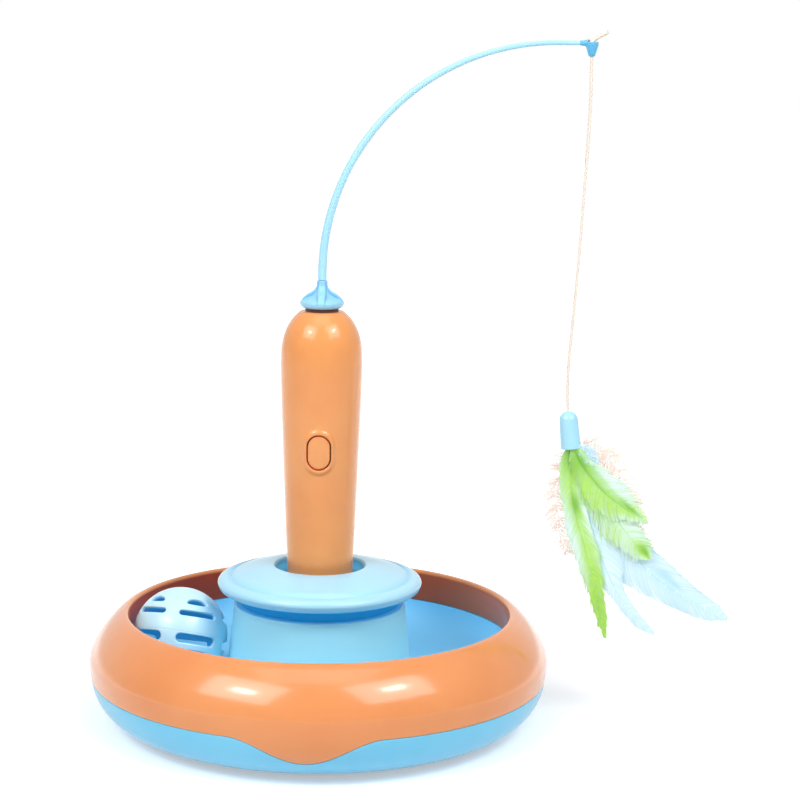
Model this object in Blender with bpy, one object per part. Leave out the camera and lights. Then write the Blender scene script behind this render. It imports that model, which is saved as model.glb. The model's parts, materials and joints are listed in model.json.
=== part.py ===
"""Rotating feather toy: a ball track base, a lift-out motor handle and a feather lure on a bent rod.

Metres, +Z up. The origin is the centre of the base's flat underside, and the front, with the power
button, faces -Y. The rod rests in the XZ plane, bent towards +X.
"""

import math

import bmesh
import bpy
import numpy as np
from mathutils import Vector

# Fits
CLEARANCE = 0.0003
OVERRUN = 0.002
WALL = 0.0022
CORNER = 0.0010

# Base bowl and rim ring
BASE_RADIUS = 0.105
BASE_WIDEST_Z = 0.030
BOWL_POWER = 2.7
RIM_POWER = 1.45
CREST_INSET = 0.0163
CREST_RADIUS = BASE_RADIUS - CREST_INSET
CREST_Z = 0.0509
LIP_WIDTH = 0.0015
LIP_RADIUS = CREST_RADIUS - LIP_WIDTH
LIP_DROP = 0.0019
LIP_EDGE_Z = CREST_Z - LIP_DROP
LIP_UNDERCUT = 0.0025
RIM_FOOT_RADIUS = LIP_RADIUS + LIP_UNDERCUT
RIM_FOOT_Z = 0.0352
SEAM_Z = 0.0215
DIP_DEPTH = 0.0109
DIP_HALF_ANGLE = math.radians(19)
TONGUE_HEIGHT = 0.0030

# Ball track and column
COLUMN_FOOT_RADIUS = 0.0418
COLUMN_FOOT_Z = 0.028
COLUMN_TAPER = 0.0025
COLUMN_TOP_RADIUS = COLUMN_FOOT_RADIUS - COLUMN_TAPER
COLUMN_RISE = 0.0034
COLUMN_TOP_Z = CREST_Z + COLUMN_RISE
TRACK_WIDTH = RIM_FOOT_RADIUS - COLUMN_FOOT_RADIUS
TRACK_MIDDLE_SHARE = 0.46347
TRACK_RADIUS = COLUMN_FOOT_RADIUS + TRACK_WIDTH * TRACK_MIDDLE_SHARE
TRACK_FLOOR_Z = 0.0165
FLOOR_MARGIN = 0.006
FLOOR_RADIUS = TRACK_RADIUS + FLOOR_MARGIN
TRAY_FLANGE = 0.0050

# Socket cap
CAP_OVERHANG = 0.0075
CAP_RADIUS = COLUMN_TOP_RADIUS + CAP_OVERHANG
NECK_HEIGHT = 0.0060
CAP_UNDER_Z = COLUMN_TOP_Z + NECK_HEIGHT
CAP_EDGE_RISE = 0.0034
CAP_EDGE_Z = CAP_UNDER_Z + CAP_EDGE_RISE
CAP_UNDER_INSET = 0.0028
CAP_UNDER_RADIUS = CAP_RADIUS - CAP_UNDER_INSET
BEAD_INSET = 0.0050
BEAD_RADIUS = CAP_RADIUS - BEAD_INSET
BEAD_LIFT = 0.0030
BEAD_Z = CAP_EDGE_Z + BEAD_LIFT
BEAD_RISE = 0.0005
MOUTH_RADIUS = 0.0213
MOUTH_LIFT = 0.0053
MOUTH_Z = BEAD_Z + MOUTH_LIFT
MOUTH_FILLET = 0.0055
NECK_INSET = 0.0031
NECK_RADIUS = COLUMN_TOP_RADIUS - NECK_INSET
SOCKET_DEPTH = 0.0093
SOCKET_FLOOR_Z = COLUMN_TOP_Z - SOCKET_DEPTH
SOCKET_FIT = 0.0005

# Ball
BALL_TRACK_SHARE = 0.90188
BALL_RADIUS = TRACK_WIDTH * BALL_TRACK_SHARE / 2
BALL_WALL = 0.0018
BALL_ANGLE = math.radians(183.2)
BALL_LEAN = math.radians(26.5)
BALL_LEAN_TOWARDS = math.radians(62)
BALL_SPIN = math.radians(11)
SLOTS_PER_ROW = 5

# Feet and base screws
FOOT_RADIUS = 0.0065
FOOT_THICK = 0.0022
FOOT_PROUD = 0.0010
FOOT_INSET = 0.012
FOOT_CIRCLE = FLOOR_RADIUS - FOOT_INSET
FOOT_COUNT = 4
BASE_SCREW_CIRCLE = TRACK_RADIUS
BASE_SCREW_COUNT = 4
CAP_SCREW_CIRCLE = 0.0265
CAP_SCREW_COUNT = 3
SCREW_SHANK_RADIUS = 0.00125
SCREW_HEAD_RADIUS = 0.0026
SCREW_HEAD_HEIGHT = 0.0018
SCREW_RECESS_DEPTH = 0.0006
BASE_SCREW_LENGTH = 0.0105
CAP_SCREW_LENGTH = 0.0078
BOSS_WALL = 0.0016

# Handle shells
BATTERY_CAP_LIFT = 0.0004
BATTERY_CAP_FOOT_Z = SOCKET_FLOOR_Z + BATTERY_CAP_LIFT
BATTERY_CAP_HEIGHT = 0.0046
HANDLE_FOOT_Z = BATTERY_CAP_FOOT_Z + BATTERY_CAP_HEIGHT
HANDLE_FOOT_RADIUS = 0.0142
CELL_LIFT = 0.0105
CELL_LENGTH = 0.0445
CELL_FOOT_Z = HANDLE_FOOT_Z + CELL_LIFT
CELL_TOP_Z = CELL_FOOT_Z + CELL_LENGTH
BUTTON_LIFT = 0.0223
BUTTON_Z = CELL_TOP_Z + BUTTON_LIFT
MOTOR_LIFT = 0.0159
MOTOR_LENGTH = 0.0187
MOTOR_FOOT_Z = BUTTON_Z + MOTOR_LIFT
PLATE_THICK = 0.0016
PLATE_GAP = 0.0008
GEAR_FIRST_Z = MOTOR_FOOT_Z + MOTOR_LENGTH + CLEARANCE + PLATE_THICK + PLATE_GAP
WAIST_LIFT = 0.0004
HANDLE_WAIST_Z = GEAR_FIRST_Z + WAIST_LIFT
HANDLE_RADIUS = 0.0185
HANDLE_TAPER_POWER = 1.2
WAIST_BAND = 0.0030
DOME_BASE_Z = HANDLE_WAIST_Z + WAIST_BAND
WAIST_STEP = 0.0001
DOME_RADIUS = HANDLE_RADIUS - WAIST_STEP
DOME_HEIGHT = 0.0239
DOME_POWER = 2.2
DOME_RISE = 0.0208
DOME_FLAT_Z = DOME_BASE_Z + DOME_RISE
SHELL_WALL = 0.0020
COLLAR_RADIUS = 0.0118
COLLAR_HEIGHT = 0.0014
GROOVE_RADIUS = 0.0130
GROOVE_HEIGHT = 0.0030
HANDLE_SCREW_LENGTH = 0.0190
HANDLE_SCREW_HEAD_Y = 0.0105
HANDLE_BOSS_TIP_Y = 0.0015
LOW_SCREW_DROP = 0.0155
LOW_SCREW_Z = BUTTON_Z - LOW_SCREW_DROP
HIGH_SCREW_LIFT = 0.0167
HIGH_SCREW_Z = BUTTON_Z + HIGH_SCREW_LIFT
HIGH_SCREW_X = 0.0112
SEAT_WALL = 0.0004

# Power button and its bezel
BEZEL_HALF_WIDTH = 0.00715
BEZEL_HALF_HEIGHT = 0.0104
BEZEL_PROUD = 0.0009
BUTTON_HALF_WIDTH = 0.0053
BUTTON_HALF_HEIGHT = 0.0077
BUTTON_PROUD = 0.0006
BUTTON_TRAVEL = 0.0010

# Battery compartment
CELL_RADIUS = 0.00525
CELL_CIRCLE = 0.00615
CELL_COUNT = 3
CELL_NUB_SHARE = 0.36
CELL_SHOULDER_SHARE = 0.975
CARRIER_RADIUS = 0.0115
CARRIER_PLATE = 0.0014
CARRIER_RIB_RADIUS = 0.0016
CONTACT_THICK = 0.0005
LUG_HEIGHT = 0.0020
LUG_REACH = 0.0012
LUG_HALF_ANGLE = math.radians(11)
NOTCH_SPARE_ANGLE = math.radians(2.75)
CAP_TURN = math.radians(45)
COIN_SLOT_WIDTH = 0.0020
COIN_SLOT_DEPTH = 0.0016

# Circuit board and switch
BOARD_WIDTH = 0.0170
BOARD_HEIGHT = 0.0210
BOARD_THICK = 0.0012
BOARD_Y = -0.0088
BOARD_POST_RADIUS = 0.0015
SWITCH_SIDE = 0.0060
SWITCH_HEIGHT = 0.0031
PLUNGER_RADIUS = 0.0016
PLUNGER_HEIGHT = 0.0012

# Motor and gear train
MOTOR_RADIUS = 0.0078
MOTOR_CAP_HEIGHT = 0.0030
MOTOR_SHAFT_RADIUS = 0.00075
PINION_TEETH = 8
WHEEL_TEETH = 20
ADDENDUM_SHARE = 0.85
DEDENDUM_SHARE = 1.2
GEAR_SIDE_GAP = 0.00159
GEAR_REACH_SHARE = PINION_TEETH / 2 + WHEEL_TEETH + ADDENDUM_SHARE
GEAR_MODULE = (HANDLE_RADIUS - SHELL_WALL - GEAR_SIDE_GAP) / GEAR_REACH_SHARE
GEAR_THICK = 0.0019
GEAR_LEVEL_PITCH = 0.0024
GEAR_BACKLASH = 0.00018
PRESSURE_ANGLE = math.radians(20)
LAYSHAFT_SHARE = 5 / 3
LAYSHAFT_RADIUS = GEAR_MODULE * LAYSHAFT_SHARE
PILLAR_RADIUS = 0.0014
PILLAR_INSET = 0.0034
PILLAR_CIRCLE = HANDLE_RADIUS - SHELL_WALL - PILLAR_INSET
PILLAR_ANGLES = [math.radians(degrees) for degrees in (205, 270, 335)]
OUTPUT_RADIUS = 0.0015
OUTPUT_TAIL_RADIUS = LAYSHAFT_RADIUS
BUSH_RADIUS = 0.0036
BUSH_FLANGE_RADIUS = 0.0052
BUSH_FLANGE = 0.0012

# Rotor hub and rod
HUB_GAP = 0.0014
HUB_FOOT_Z = DOME_FLAT_Z + HUB_GAP
HUB_RADIUS = 0.00996
HUB_FLANK = 0.0030
HUB_BOSS_RADIUS = 0.0034
HUB_COLLAR_RADIUS = 0.0024
HUB_HEIGHT = 0.0128
HUB_TOP_Z = HUB_FOOT_Z + HUB_HEIGHT
GUSSET_THICK = 0.0022
SHAFT_IN_HUB = 0.0084
OUTPUT_TOP_Z = HUB_FOOT_Z + SHAFT_IN_HUB
ROD_BASE_RADIUS = 0.0020
ROD_TIP_RADIUS = 0.0010
ROD_STRAIGHT = 0.0029
ROD_BEND_RADIUS = 0.1037
ROD_REACH = 0.0090

# Tip eyelet and cord
EYELET_SET = 0.0053
EYELET_RADIUS = 0.0027
EYELET_HEIGHT = 0.0046
EYELET_BORE = 0.0011
EYELET_SHOULDER_SHARE = 0.4
CORD_RADIUS = 0.0006
KNOT_RADIUS = 0.0019
TAIL_LENGTH = 0.0085
TAIL_LEAN = math.radians(58)

# Lure
FERRULE_RADIUS = 0.0043
FERRULE_MOUTH_RADIUS = 0.0048
FERRULE_LENGTH = 0.0170
FERRULE_WALL = 0.0009
FERRULE_POCKET = 0.0080
FERRULE_LEAN = math.radians(6)
FEATHER_GAP = 0.0003
FEATHER_THICK = 0.0008
QUILL_INSET = 0.0045
QUILL_SPREAD = 0.0014
QUILL_HALF_WIDTH = 0.0009
LONGEST_FEATHER = 0.106

# Route of the hanging cord from the tip eyelet to the ferrule, (x, z) in metres, in the XZ plane.
CORD_ROUTE = [
    (0.1180, 0.3020), (0.1181, 0.2904), (0.1176, 0.2693), (0.1169, 0.2551), (0.1155, 0.2266),
    (0.1142, 0.2051), (0.1127, 0.1833), (0.1115, 0.1650), (0.1114, 0.1541), (0.1118, 0.1456),
]

# Colours, each as red, green and blue
ORANGE = (0.87, 0.37, 0.14)
SKY = (0.26, 0.63, 0.87)
PALE_SKY = (0.52, 0.80, 0.95)
STEEL = (0.62, 0.63, 0.65)
BRASS = (0.78, 0.60, 0.30)
NATURAL = (0.86, 0.84, 0.78)
CORD_CREAM = (0.90, 0.78, 0.62)
LIME = (0.38, 0.72, 0.08)
FROST = (0.74, 0.90, 0.97)
PEACH = (0.97, 0.78, 0.66)
RUBBER = (0.10, 0.11, 0.12)
BOARD_GREEN = (0.05, 0.30, 0.16)
CELL_GREY = (0.20, 0.22, 0.26)

RING_STEPS = 32
CAP_STEPS = 24
HALF_STEPS = 9
BALL_STEPS = 15
SMALL_STEPS = 10
TINY_STEPS = 7


def clear_scene():
    for item in list(bpy.data.objects):
        bpy.data.objects.remove(item, do_unlink=True)


def finish_for(name, colour, roughness, metallic=0.0):
    """One material for one sub-part."""
    material = bpy.data.materials.new(name)
    material.use_nodes = True
    shader = material.node_tree.nodes["Principled BSDF"]
    shader.inputs["Base Color"].default_value = (*colour, 1)
    shader.inputs["Roughness"].default_value = roughness
    shader.inputs["Metallic"].default_value = metallic
    return material


def add(name, points, faces, colour, roughness=0.4, metallic=0.0, parent=None):
    """A named object from points in world space, with its own material."""
    mesh = bpy.data.meshes.new(name)
    mesh.from_pydata([tuple(map(float, p)) for p in points], [], faces)
    builder = bmesh.new()
    builder.from_mesh(mesh)
    bmesh.ops.recalc_face_normals(builder, faces=builder.faces)
    if builder.calc_volume(signed=True) < 0:
        bmesh.ops.reverse_faces(builder, faces=builder.faces)
    builder.to_mesh(mesh)
    builder.free()
    mesh.shade_smooth()
    mesh.set_sharp_from_angle(angle=math.radians(35))
    item = bpy.data.objects.new(name, mesh)
    bpy.context.collection.objects.link(item)
    item.data.materials.append(finish_for(name, colour, roughness, metallic))
    if parent:
        item.parent = parent
        item.matrix_parent_inverse = parent.matrix_world.inverted()
    return item


def cutter(name, points, faces):
    """A hidden solid that a Boolean uses."""
    item = add(name, points, faces, STEEL)
    item.hide_render = True
    item.display_type = "WIRE"
    return item


def combine(item, other, operation):
    modifier = item.modifiers.new(f"{operation.lower()} {other.name}", "BOOLEAN")
    modifier.operation = operation
    modifier.object = other
    modifier.solver = "EXACT"


def joint_at(name, place, axis=(0, 0, 1)):
    """An empty whose origin and local Z lie on a joint's axis."""
    empty = bpy.data.objects.new(name, None)
    empty.location = place
    empty.rotation_mode = "QUATERNION"
    empty.rotation_quaternion = Vector((0, 0, 1)).rotation_difference(Vector(axis))
    empty.empty_display_size = CAP_RADIUS
    bpy.context.collection.objects.link(empty)
    bpy.context.view_layer.update()
    return empty


def merge(*shapes):
    """Several (points, faces) shapes as one list pair."""
    points, faces = [], []
    for shape_points, shape_faces in shapes:
        start = len(points)
        points.extend(map(tuple, shape_points))
        faces.extend(tuple(i + start for i in face) for face in shape_faces)
    return points, faces


def moved(shape, offset):
    points, faces = shape
    return np.asarray(points, float) + np.asarray(offset, float), faces


def full_turn(steps):
    return [2 * math.pi * i / steps for i in range(steps)]


def turned(profile, angles, centre=(0, 0)):
    """Revolves a closed (radius, z) outline about the upright line through centre.

    profile is a list of points, or a function of the angle that gives one. Points on the axis
    become one vertex.
    """
    outline = profile if callable(profile) else lambda angle: profile
    first = outline(angles[0])
    count = len(first)
    points, index = [], {}
    for i, angle in enumerate(angles):
        for k, (radius, z) in enumerate(outline(angle)):
            if radius <= 0:
                if (0, k) not in index:
                    index[0, k] = len(points)
                    points.append((centre[0], centre[1], z))
                index[i, k] = index[0, k]
                continue
            index[i, k] = len(points)
            x = centre[0] + radius * math.cos(angle)
            y = centre[1] + radius * math.sin(angle)
            points.append((x, y, z))
    faces = []
    for i in range(len(angles)):
        j = (i + 1) % len(angles)
        for k in range(count):
            m = (k + 1) % count
            face = []
            for corner in (index[i, k], index[i, m], index[j, m], index[j, k]):
                if corner not in face:
                    face.append(corner)
            if len(face) > 2:
                faces.append(face)
    return points, faces


def half_turned(profile, start, sweep, steps):
    """Revolves a closed outline, clear of the axis, through part of a turn and caps both ends."""
    points, faces = [], []
    count = len(profile)
    for i in range(steps + 1):
        angle = start + sweep * i / steps
        points += [(r * math.cos(angle), r * math.sin(angle), z) for r, z in profile]
    for i in range(steps):
        for k in range(count):
            m = (k + 1) % count
            faces.append([i * count + k, i * count + m, (i + 1) * count + m, (i + 1) * count + k])
    faces.append(list(range(count)))
    faces.append([steps * count + k for k in reversed(range(count))])
    return points, faces


def prism(outline, low, high, axis="z"):
    """Extrudes a closed outline along Z, or along Y with the outline in X and Z."""
    count = len(outline)
    if axis == "z":
        points = [(x, y, level) for level in (low, high) for x, y in outline]
    else:
        points = [(x, level, z) for level in (low, high) for x, z in outline]
    faces = [[k, (k + 1) % count, count + (k + 1) % count, count + k] for k in range(count)]
    faces += [list(range(count)), [count + k for k in reversed(range(count))]]
    return points, faces


def circle(radius, steps, centre=(0, 0), phase=0.0):
    return [
        (centre[0] + radius * math.cos(a + phase), centre[1] + radius * math.sin(a + phase))
        for a in full_turn(steps)
    ]


def tube(inner, outer, low, high, steps, centre=(0, 0)):
    return turned([(outer, low), (outer, high), (inner, high), (inner, low)], full_turn(steps), centre)


def box(low, high):
    corners = [(x, y, z) for z in (low[2], high[2]) for y in (low[1], high[1]) for x in (low[0], high[0])]
    faces = [[0, 2, 3, 1], [4, 5, 7, 6], [0, 1, 5, 4], [2, 6, 7, 3], [0, 4, 6, 2], [1, 3, 7, 5]]
    return corners, faces


def arc(centre, radii, start, end, steps, power=2.0):
    """Points along a superellipse quarter, from angle start to end in radians."""
    points = []
    for i in range(steps + 1):
        angle = start + (end - start) * i / steps
        c, s = math.cos(angle), math.sin(angle)
        points.append((
            centre[0] + radii[0] * math.copysign(abs(c) ** (2 / power), c),
            centre[1] + radii[1] * math.copysign(abs(s) ** (2 / power), s),
        ))
    return points


def offset(path, distance):
    """A path moved sideways by distance, to the left of its direction."""
    path = np.array(path, float)
    step = np.diff(path, axis=0)
    step /= np.linalg.norm(step, axis=1)[:, None]
    normal = np.stack([-step[:, 1], step[:, 0]], axis=1)
    joined = np.vstack([normal[:1], normal[:-1] + normal[1:], normal[-1:]])
    joined /= np.linalg.norm(joined, axis=1)[:, None]
    nearest = np.vstack([normal[:1], normal[1:], normal[-1:]])
    stretch = np.clip((joined * nearest).sum(axis=1), 0.6, 1.0)
    return [tuple(p) for p in path + joined * (distance / stretch)[:, None]]


def swept(path, radii, steps, flat_share=1.0, side=(0, 1, 0)):
    """A closed tube of round or flattened section along a path; side stays square to the path."""
    path = np.array(path, float)
    side = np.array(side, float)
    tangent = np.gradient(path, axis=0)
    tangent /= np.linalg.norm(tangent, axis=1)[:, None]
    across = np.cross(tangent, side)
    across /= np.linalg.norm(across, axis=1)[:, None]
    points = []
    for centre, wide, radius in zip(path, across, radii):
        for angle in full_turn(steps):
            points.append(centre + radius * (math.cos(angle) * wide + flat_share * math.sin(angle) * side))
    faces = []
    for i in range(len(path) - 1):
        for k in range(steps):
            m = (k + 1) % steps
            faces.append([i * steps + k, i * steps + m, (i + 1) * steps + m, (i + 1) * steps + k])
    last = (len(path) - 1) * steps
    faces += [list(reversed(range(steps))), [last + k for k in range(steps)]]
    return points, faces


def screw_shape(length):
    """A pan head self-tapping screw, head at z 0 pointing down and its point up."""
    crown = SCREW_HEAD_RADIUS * 0.72
    tip = SCREW_SHANK_RADIUS * 0.35
    return turned(
        [
            (0, 0), (crown, 0), (SCREW_HEAD_RADIUS, SCREW_HEAD_HEIGHT),
            (SCREW_SHANK_RADIUS, SCREW_HEAD_HEIGHT),
            (SCREW_SHANK_RADIUS, length - SCREW_SHANK_RADIUS), (tip, length), (0, length),
        ],
        full_turn(TINY_STEPS),
    )


def ring_places(count, radius, phase=0.0):
    return [
        (radius * math.cos(phase + a), radius * math.sin(phase + a))
        for a in full_turn(count)
    ]


# Base

FRONT = -math.pi / 2
FOOT_PLACES = ring_places(FOOT_COUNT, FOOT_CIRCLE)
BASE_SCREW_PLACES = ring_places(BASE_SCREW_COUNT, BASE_SCREW_CIRCLE, math.pi / BASE_SCREW_COUNT)
CAP_SCREW_PLACES = ring_places(CAP_SCREW_COUNT, CAP_SCREW_CIRCLE, math.pi / 2)


def seam_height(angle):
    """The seam between rim and bowl: level, with one smooth dip at the front."""
    away = abs((angle - FRONT + math.pi) % (2 * math.pi) - math.pi)
    if away >= DIP_HALF_ANGLE:
        return SEAM_Z
    return SEAM_Z - DIP_DEPTH * (1 + math.cos(math.pi * away / DIP_HALF_ANGLE)) / 2


def bowl_radius(z):
    """Outside radius of the lower half of the base at a height."""
    rise = min(max(1 - z / BASE_WIDEST_Z, 0), 1)
    return FLOOR_RADIUS + (BASE_RADIUS - FLOOR_RADIUS) * (1 - rise ** BOWL_POWER) ** (1 / BOWL_POWER)


def base_angles():
    """Even steps round the base, with twice as many across the dip."""
    step = 2 * math.pi / RING_STEPS
    angles = []
    for i in range(RING_STEPS):
        angle = FRONT + i * step
        near_dip = min(i, RING_STEPS - i) * step < DIP_HALF_ANGLE + step / 2
        parts = 2 if near_dip else 1
        angles += [angle + step * k / parts for k in range(parts)]
    return angles


# Heights of the bowl's points, as shares of its edge's height
BOWL_OUTER_SHARES = (0.0, 0.06, 0.24, 0.55, 1.0)
BOWL_INNER_SHARES = (1.0, 0.30)


def base_shell_profile(angle):
    edge = seam_height(angle) - CLEARANCE
    tongue_radius = bowl_radius(edge) - WALL - CLEARANCE
    outer = [(bowl_radius(edge * share), edge * share) for share in BOWL_OUTER_SHARES]
    inner = [(bowl_radius(edge * share) - 2 * WALL, edge * share) for share in BOWL_INNER_SHARES]
    inner[-1] = (inner[-1][0], WALL)
    return (
        [(0, 0)] + outer
        + [(tongue_radius, edge), (tongue_radius, edge + TONGUE_HEIGHT)]
        + [(tongue_radius - WALL, edge + TONGUE_HEIGHT)]
        + inner + [(FLOOR_RADIUS - WALL, WALL), (0, WALL)]
    )


def make_base_shell():
    shell = add("base_shell", *turned(base_shell_profile, base_angles()), SKY, 0.3)
    boss_top = WALL + SCREW_HEAD_HEIGHT + SCREW_RECESS_DEPTH
    boss_radius = SCREW_HEAD_RADIUS + CLEARANCE + BOSS_WALL
    floor_mid = WALL / 2
    bosses = [
        moved(prism(circle(boss_radius, SMALL_STEPS), floor_mid, boss_top), (x, y, 0))
        for x, y in BASE_SCREW_PLACES
    ]
    seats = [
        moved(prism(circle(FOOT_RADIUS + BOSS_WALL, SMALL_STEPS), floor_mid, 2 * WALL), (x, y, 0))
        for x, y in FOOT_PLACES
    ]
    combine(shell, cutter("base_boss_solids", *merge(*bosses, *seats)), "UNION")
    head_top = SCREW_RECESS_DEPTH + SCREW_HEAD_HEIGHT + CLEARANCE
    bore = SCREW_SHANK_RADIUS + CLEARANCE
    head = SCREW_HEAD_RADIUS + CLEARANCE
    holes = [
        turned(
            [(0, -OVERRUN), (head, -OVERRUN), (head, head_top), (bore, head_top),
             (bore, boss_top + OVERRUN), (0, boss_top + OVERRUN)],
            full_turn(SMALL_STEPS), place,
        )
        for place in BASE_SCREW_PLACES
    ]
    pockets = [
        prism(circle(FOOT_RADIUS, SMALL_STEPS, place), -OVERRUN, FOOT_THICK - FOOT_PROUD)
        for place in FOOT_PLACES
    ]
    combine(shell, cutter("base_holes", *merge(*holes, *pockets)), "DIFFERENCE")


def make_feet():
    for number, place in enumerate(FOOT_PLACES, 1):
        radius = FOOT_RADIUS - CLEARANCE
        edge = FOOT_PROUD / 2
        top = FOOT_THICK - FOOT_PROUD - CLEARANCE
        profile = [(0, -FOOT_PROUD), (radius - edge, -FOOT_PROUD), (radius, edge - FOOT_PROUD),
                   (radius, top), (0, top)]
        add(f"rubber_foot_{number}", *turned(profile, full_turn(SMALL_STEPS), place), RUBBER, 0.8)


def make_base_screws():
    for number, (x, y) in enumerate(BASE_SCREW_PLACES, 1):
        shape = moved(screw_shape(BASE_SCREW_LENGTH), (x, y, SCREW_RECESS_DEPTH))
        add(f"base_screw_{number}", *shape, STEEL, 0.3, 1.0)


def rim_outer(angle):
    """From the seam up over the crest and down the inner wall."""
    seam = seam_height(angle)
    crown_radii = (CREST_INSET, CREST_Z - BASE_WIDEST_Z)
    top = arc((CREST_RADIUS, BASE_WIDEST_Z), crown_radii, 0, math.pi / 2, 6, RIM_POWER)
    lip = arc((CREST_RADIUS, LIP_EDGE_Z), (LIP_WIDTH, LIP_DROP), math.pi / 2, math.pi, 2)[1:]
    return [(bowl_radius(seam), seam)] + top + lip + [(RIM_FOOT_RADIUS, RIM_FOOT_Z)]


def rim_profile(angle):
    outer = rim_outer(angle)
    seam = outer[0][1]
    crown_radii = (CREST_INSET - 1.5 * WALL, CREST_Z - BASE_WIDEST_Z - WALL)
    crown_in = arc((CREST_RADIUS + WALL / 2, BASE_WIDEST_Z), crown_radii, math.pi / 2, 0, 2, RIM_POWER)
    inner = [(RIM_FOOT_RADIUS + WALL, RIM_FOOT_Z), (LIP_RADIUS + 1.3 * WALL, LIP_EDGE_Z - WALL)]
    return outer + inner + crown_in + [(bowl_radius(seam) - WALL, seam)]


def make_rim_ring():
    add("rim_ring", *turned(rim_profile, base_angles()), ORANGE, 0.25)


def track_surface():
    """Upper surface of the tray, from the flange under the rim in to the top of the column."""
    shoulder_z = RIM_FOOT_Z - CLEARANCE
    outer_radii = (RIM_FOOT_RADIUS - CLEARANCE - TRACK_RADIUS, shoulder_z - TRACK_FLOOR_Z)
    inner_radii = (TRACK_RADIUS - COLUMN_FOOT_RADIUS, COLUMN_FOOT_Z - TRACK_FLOOR_Z)
    outer = arc((TRACK_RADIUS, shoulder_z), outer_radii, 0, -math.pi / 2, 4)
    inner = arc((TRACK_RADIUS, COLUMN_FOOT_Z), inner_radii, -math.pi / 2, -math.pi, 3)[1:]
    column = [(COLUMN_TOP_RADIUS, COLUMN_TOP_Z - CORNER),
              (COLUMN_TOP_RADIUS - CORNER, COLUMN_TOP_Z)]
    return [(RIM_FOOT_RADIUS + TRAY_FLANGE, shoulder_z)] + outer + inner + column


def socket_bore(z):
    """Inside radius of the socket, a sliding fit round the handle's taper."""
    return handle_radius(z) + SOCKET_FIT


def make_track_tray():
    upper = track_surface()
    lower = offset(upper, WALL)
    web_hole = socket_bore(COLUMN_TOP_Z) + WALL + CLEARANCE * 2
    web_low = COLUMN_TOP_Z - WALL
    inside = lower[:1] + lower[1:-2:2] + [(COLUMN_TOP_RADIUS - WALL, web_low)]
    profile = upper + [(web_hole, COLUMN_TOP_Z), (web_hole, web_low)] + inside[::-1]
    tray = add("track_tray", *turned(profile, full_turn(RING_STEPS)), SKY, 0.25)
    bore = SCREW_SHANK_RADIUS + CLEARANCE
    boss_foot = WALL + SCREW_HEAD_HEIGHT + SCREW_RECESS_DEPTH + CLEARANCE
    post = bore + BOSS_WALL
    posts = [
        prism(circle(post, SMALL_STEPS, place), boss_foot, TRACK_FLOOR_Z - WALL / 2)
        for place in BASE_SCREW_PLACES
    ]
    combine(tray, cutter("tray_post_solids", *merge(*posts)), "UNION")
    screw_end = SCREW_RECESS_DEPTH + BASE_SCREW_LENGTH + CLEARANCE
    holes = [
        prism(circle(bore, TINY_STEPS, place), boss_foot - OVERRUN, screw_end)
        for place in BASE_SCREW_PLACES
    ]
    holes += [
        prism(circle(bore, TINY_STEPS, place), web_low - OVERRUN, COLUMN_TOP_Z + OVERRUN)
        for place in CAP_SCREW_PLACES
    ]
    combine(tray, cutter("tray_holes", *merge(*holes)), "DIFFERENCE")


def make_socket_cap():
    """A domed cap on a neck, with the handle's socket hanging in its middle."""
    seat_z = COLUMN_TOP_Z + CLEARANCE
    funnel_z = MOUTH_Z - MOUTH_FILLET
    bore_top = socket_bore(funnel_z)
    edge_height = BEAD_Z - CAP_UNDER_Z
    funnel = (MOUTH_RADIUS - bore_top, MOUTH_FILLET)
    mouth = arc((MOUTH_RADIUS, funnel_z), funnel, math.pi, math.pi / 2, 3)
    bead = [
        (BEAD_RADIUS - BEAD_RISE * 2, BEAD_Z + BEAD_RISE),
        (BEAD_RADIUS, BEAD_Z),
        (BEAD_RADIUS + BEAD_RISE, BEAD_Z + BEAD_RISE / 3),
    ]
    roll_radii = (BEAD_INSET - BEAD_RISE, BEAD_LIFT)
    roll = arc((BEAD_RADIUS + BEAD_RISE, CAP_EDGE_Z), roll_radii, math.pi / 2, 0, 3)[1:]
    roll += [(CAP_RADIUS - CORNER, CAP_UNDER_Z + edge_height / 5), (CAP_UNDER_RADIUS, CAP_UNDER_Z)]
    neck = [(NECK_RADIUS, CAP_UNDER_Z), (NECK_RADIUS, seat_z), (NECK_RADIUS - WALL, seat_z)]
    under_z = CAP_UNDER_Z + WALL / 2
    under = [(NECK_RADIUS - WALL, under_z), (MOUTH_RADIUS + WALL, MOUTH_Z - 2 * WALL),
             (bore_top + WALL, funnel_z - WALL)]
    cup = [(socket_bore(SOCKET_FLOOR_Z) + WALL, SOCKET_FLOOR_Z - WALL), (0, SOCKET_FLOOR_Z - WALL)]
    profile = [(0, SOCKET_FLOOR_Z), (socket_bore(SOCKET_FLOOR_Z), SOCKET_FLOOR_Z)]
    profile += mouth + bead + roll + neck + under + cup
    cap = add("socket_cap", *turned(profile, full_turn(CAP_STEPS)), PALE_SKY, 0.25)
    bore = SCREW_SHANK_RADIUS + CLEARANCE
    bosses = [
        prism(circle(bore + BOSS_WALL, TINY_STEPS, place), seat_z, under_z + WALL * 2)
        for place in CAP_SCREW_PLACES
    ]
    combine(cap, cutter("cap_boss_solids", *merge(*bosses)), "UNION")
    screw_end = COLUMN_TOP_Z - WALL - CLEARANCE - SCREW_HEAD_HEIGHT + CAP_SCREW_LENGTH + CLEARANCE
    holes = [
        prism(circle(bore, TINY_STEPS, place), seat_z - OVERRUN, screw_end)
        for place in CAP_SCREW_PLACES
    ]
    combine(cap, cutter("cap_holes", *merge(*holes)), "DIFFERENCE")


def make_cap_screws():
    head_z = COLUMN_TOP_Z - WALL - CLEARANCE - SCREW_HEAD_HEIGHT
    for number, (x, y) in enumerate(CAP_SCREW_PLACES, 1):
        shape = moved(screw_shape(CAP_SCREW_LENGTH), (x, y, head_z))
        add(f"cap_screw_{number}", *shape, STEEL, 0.3, 1.0)


# Ball

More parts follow.
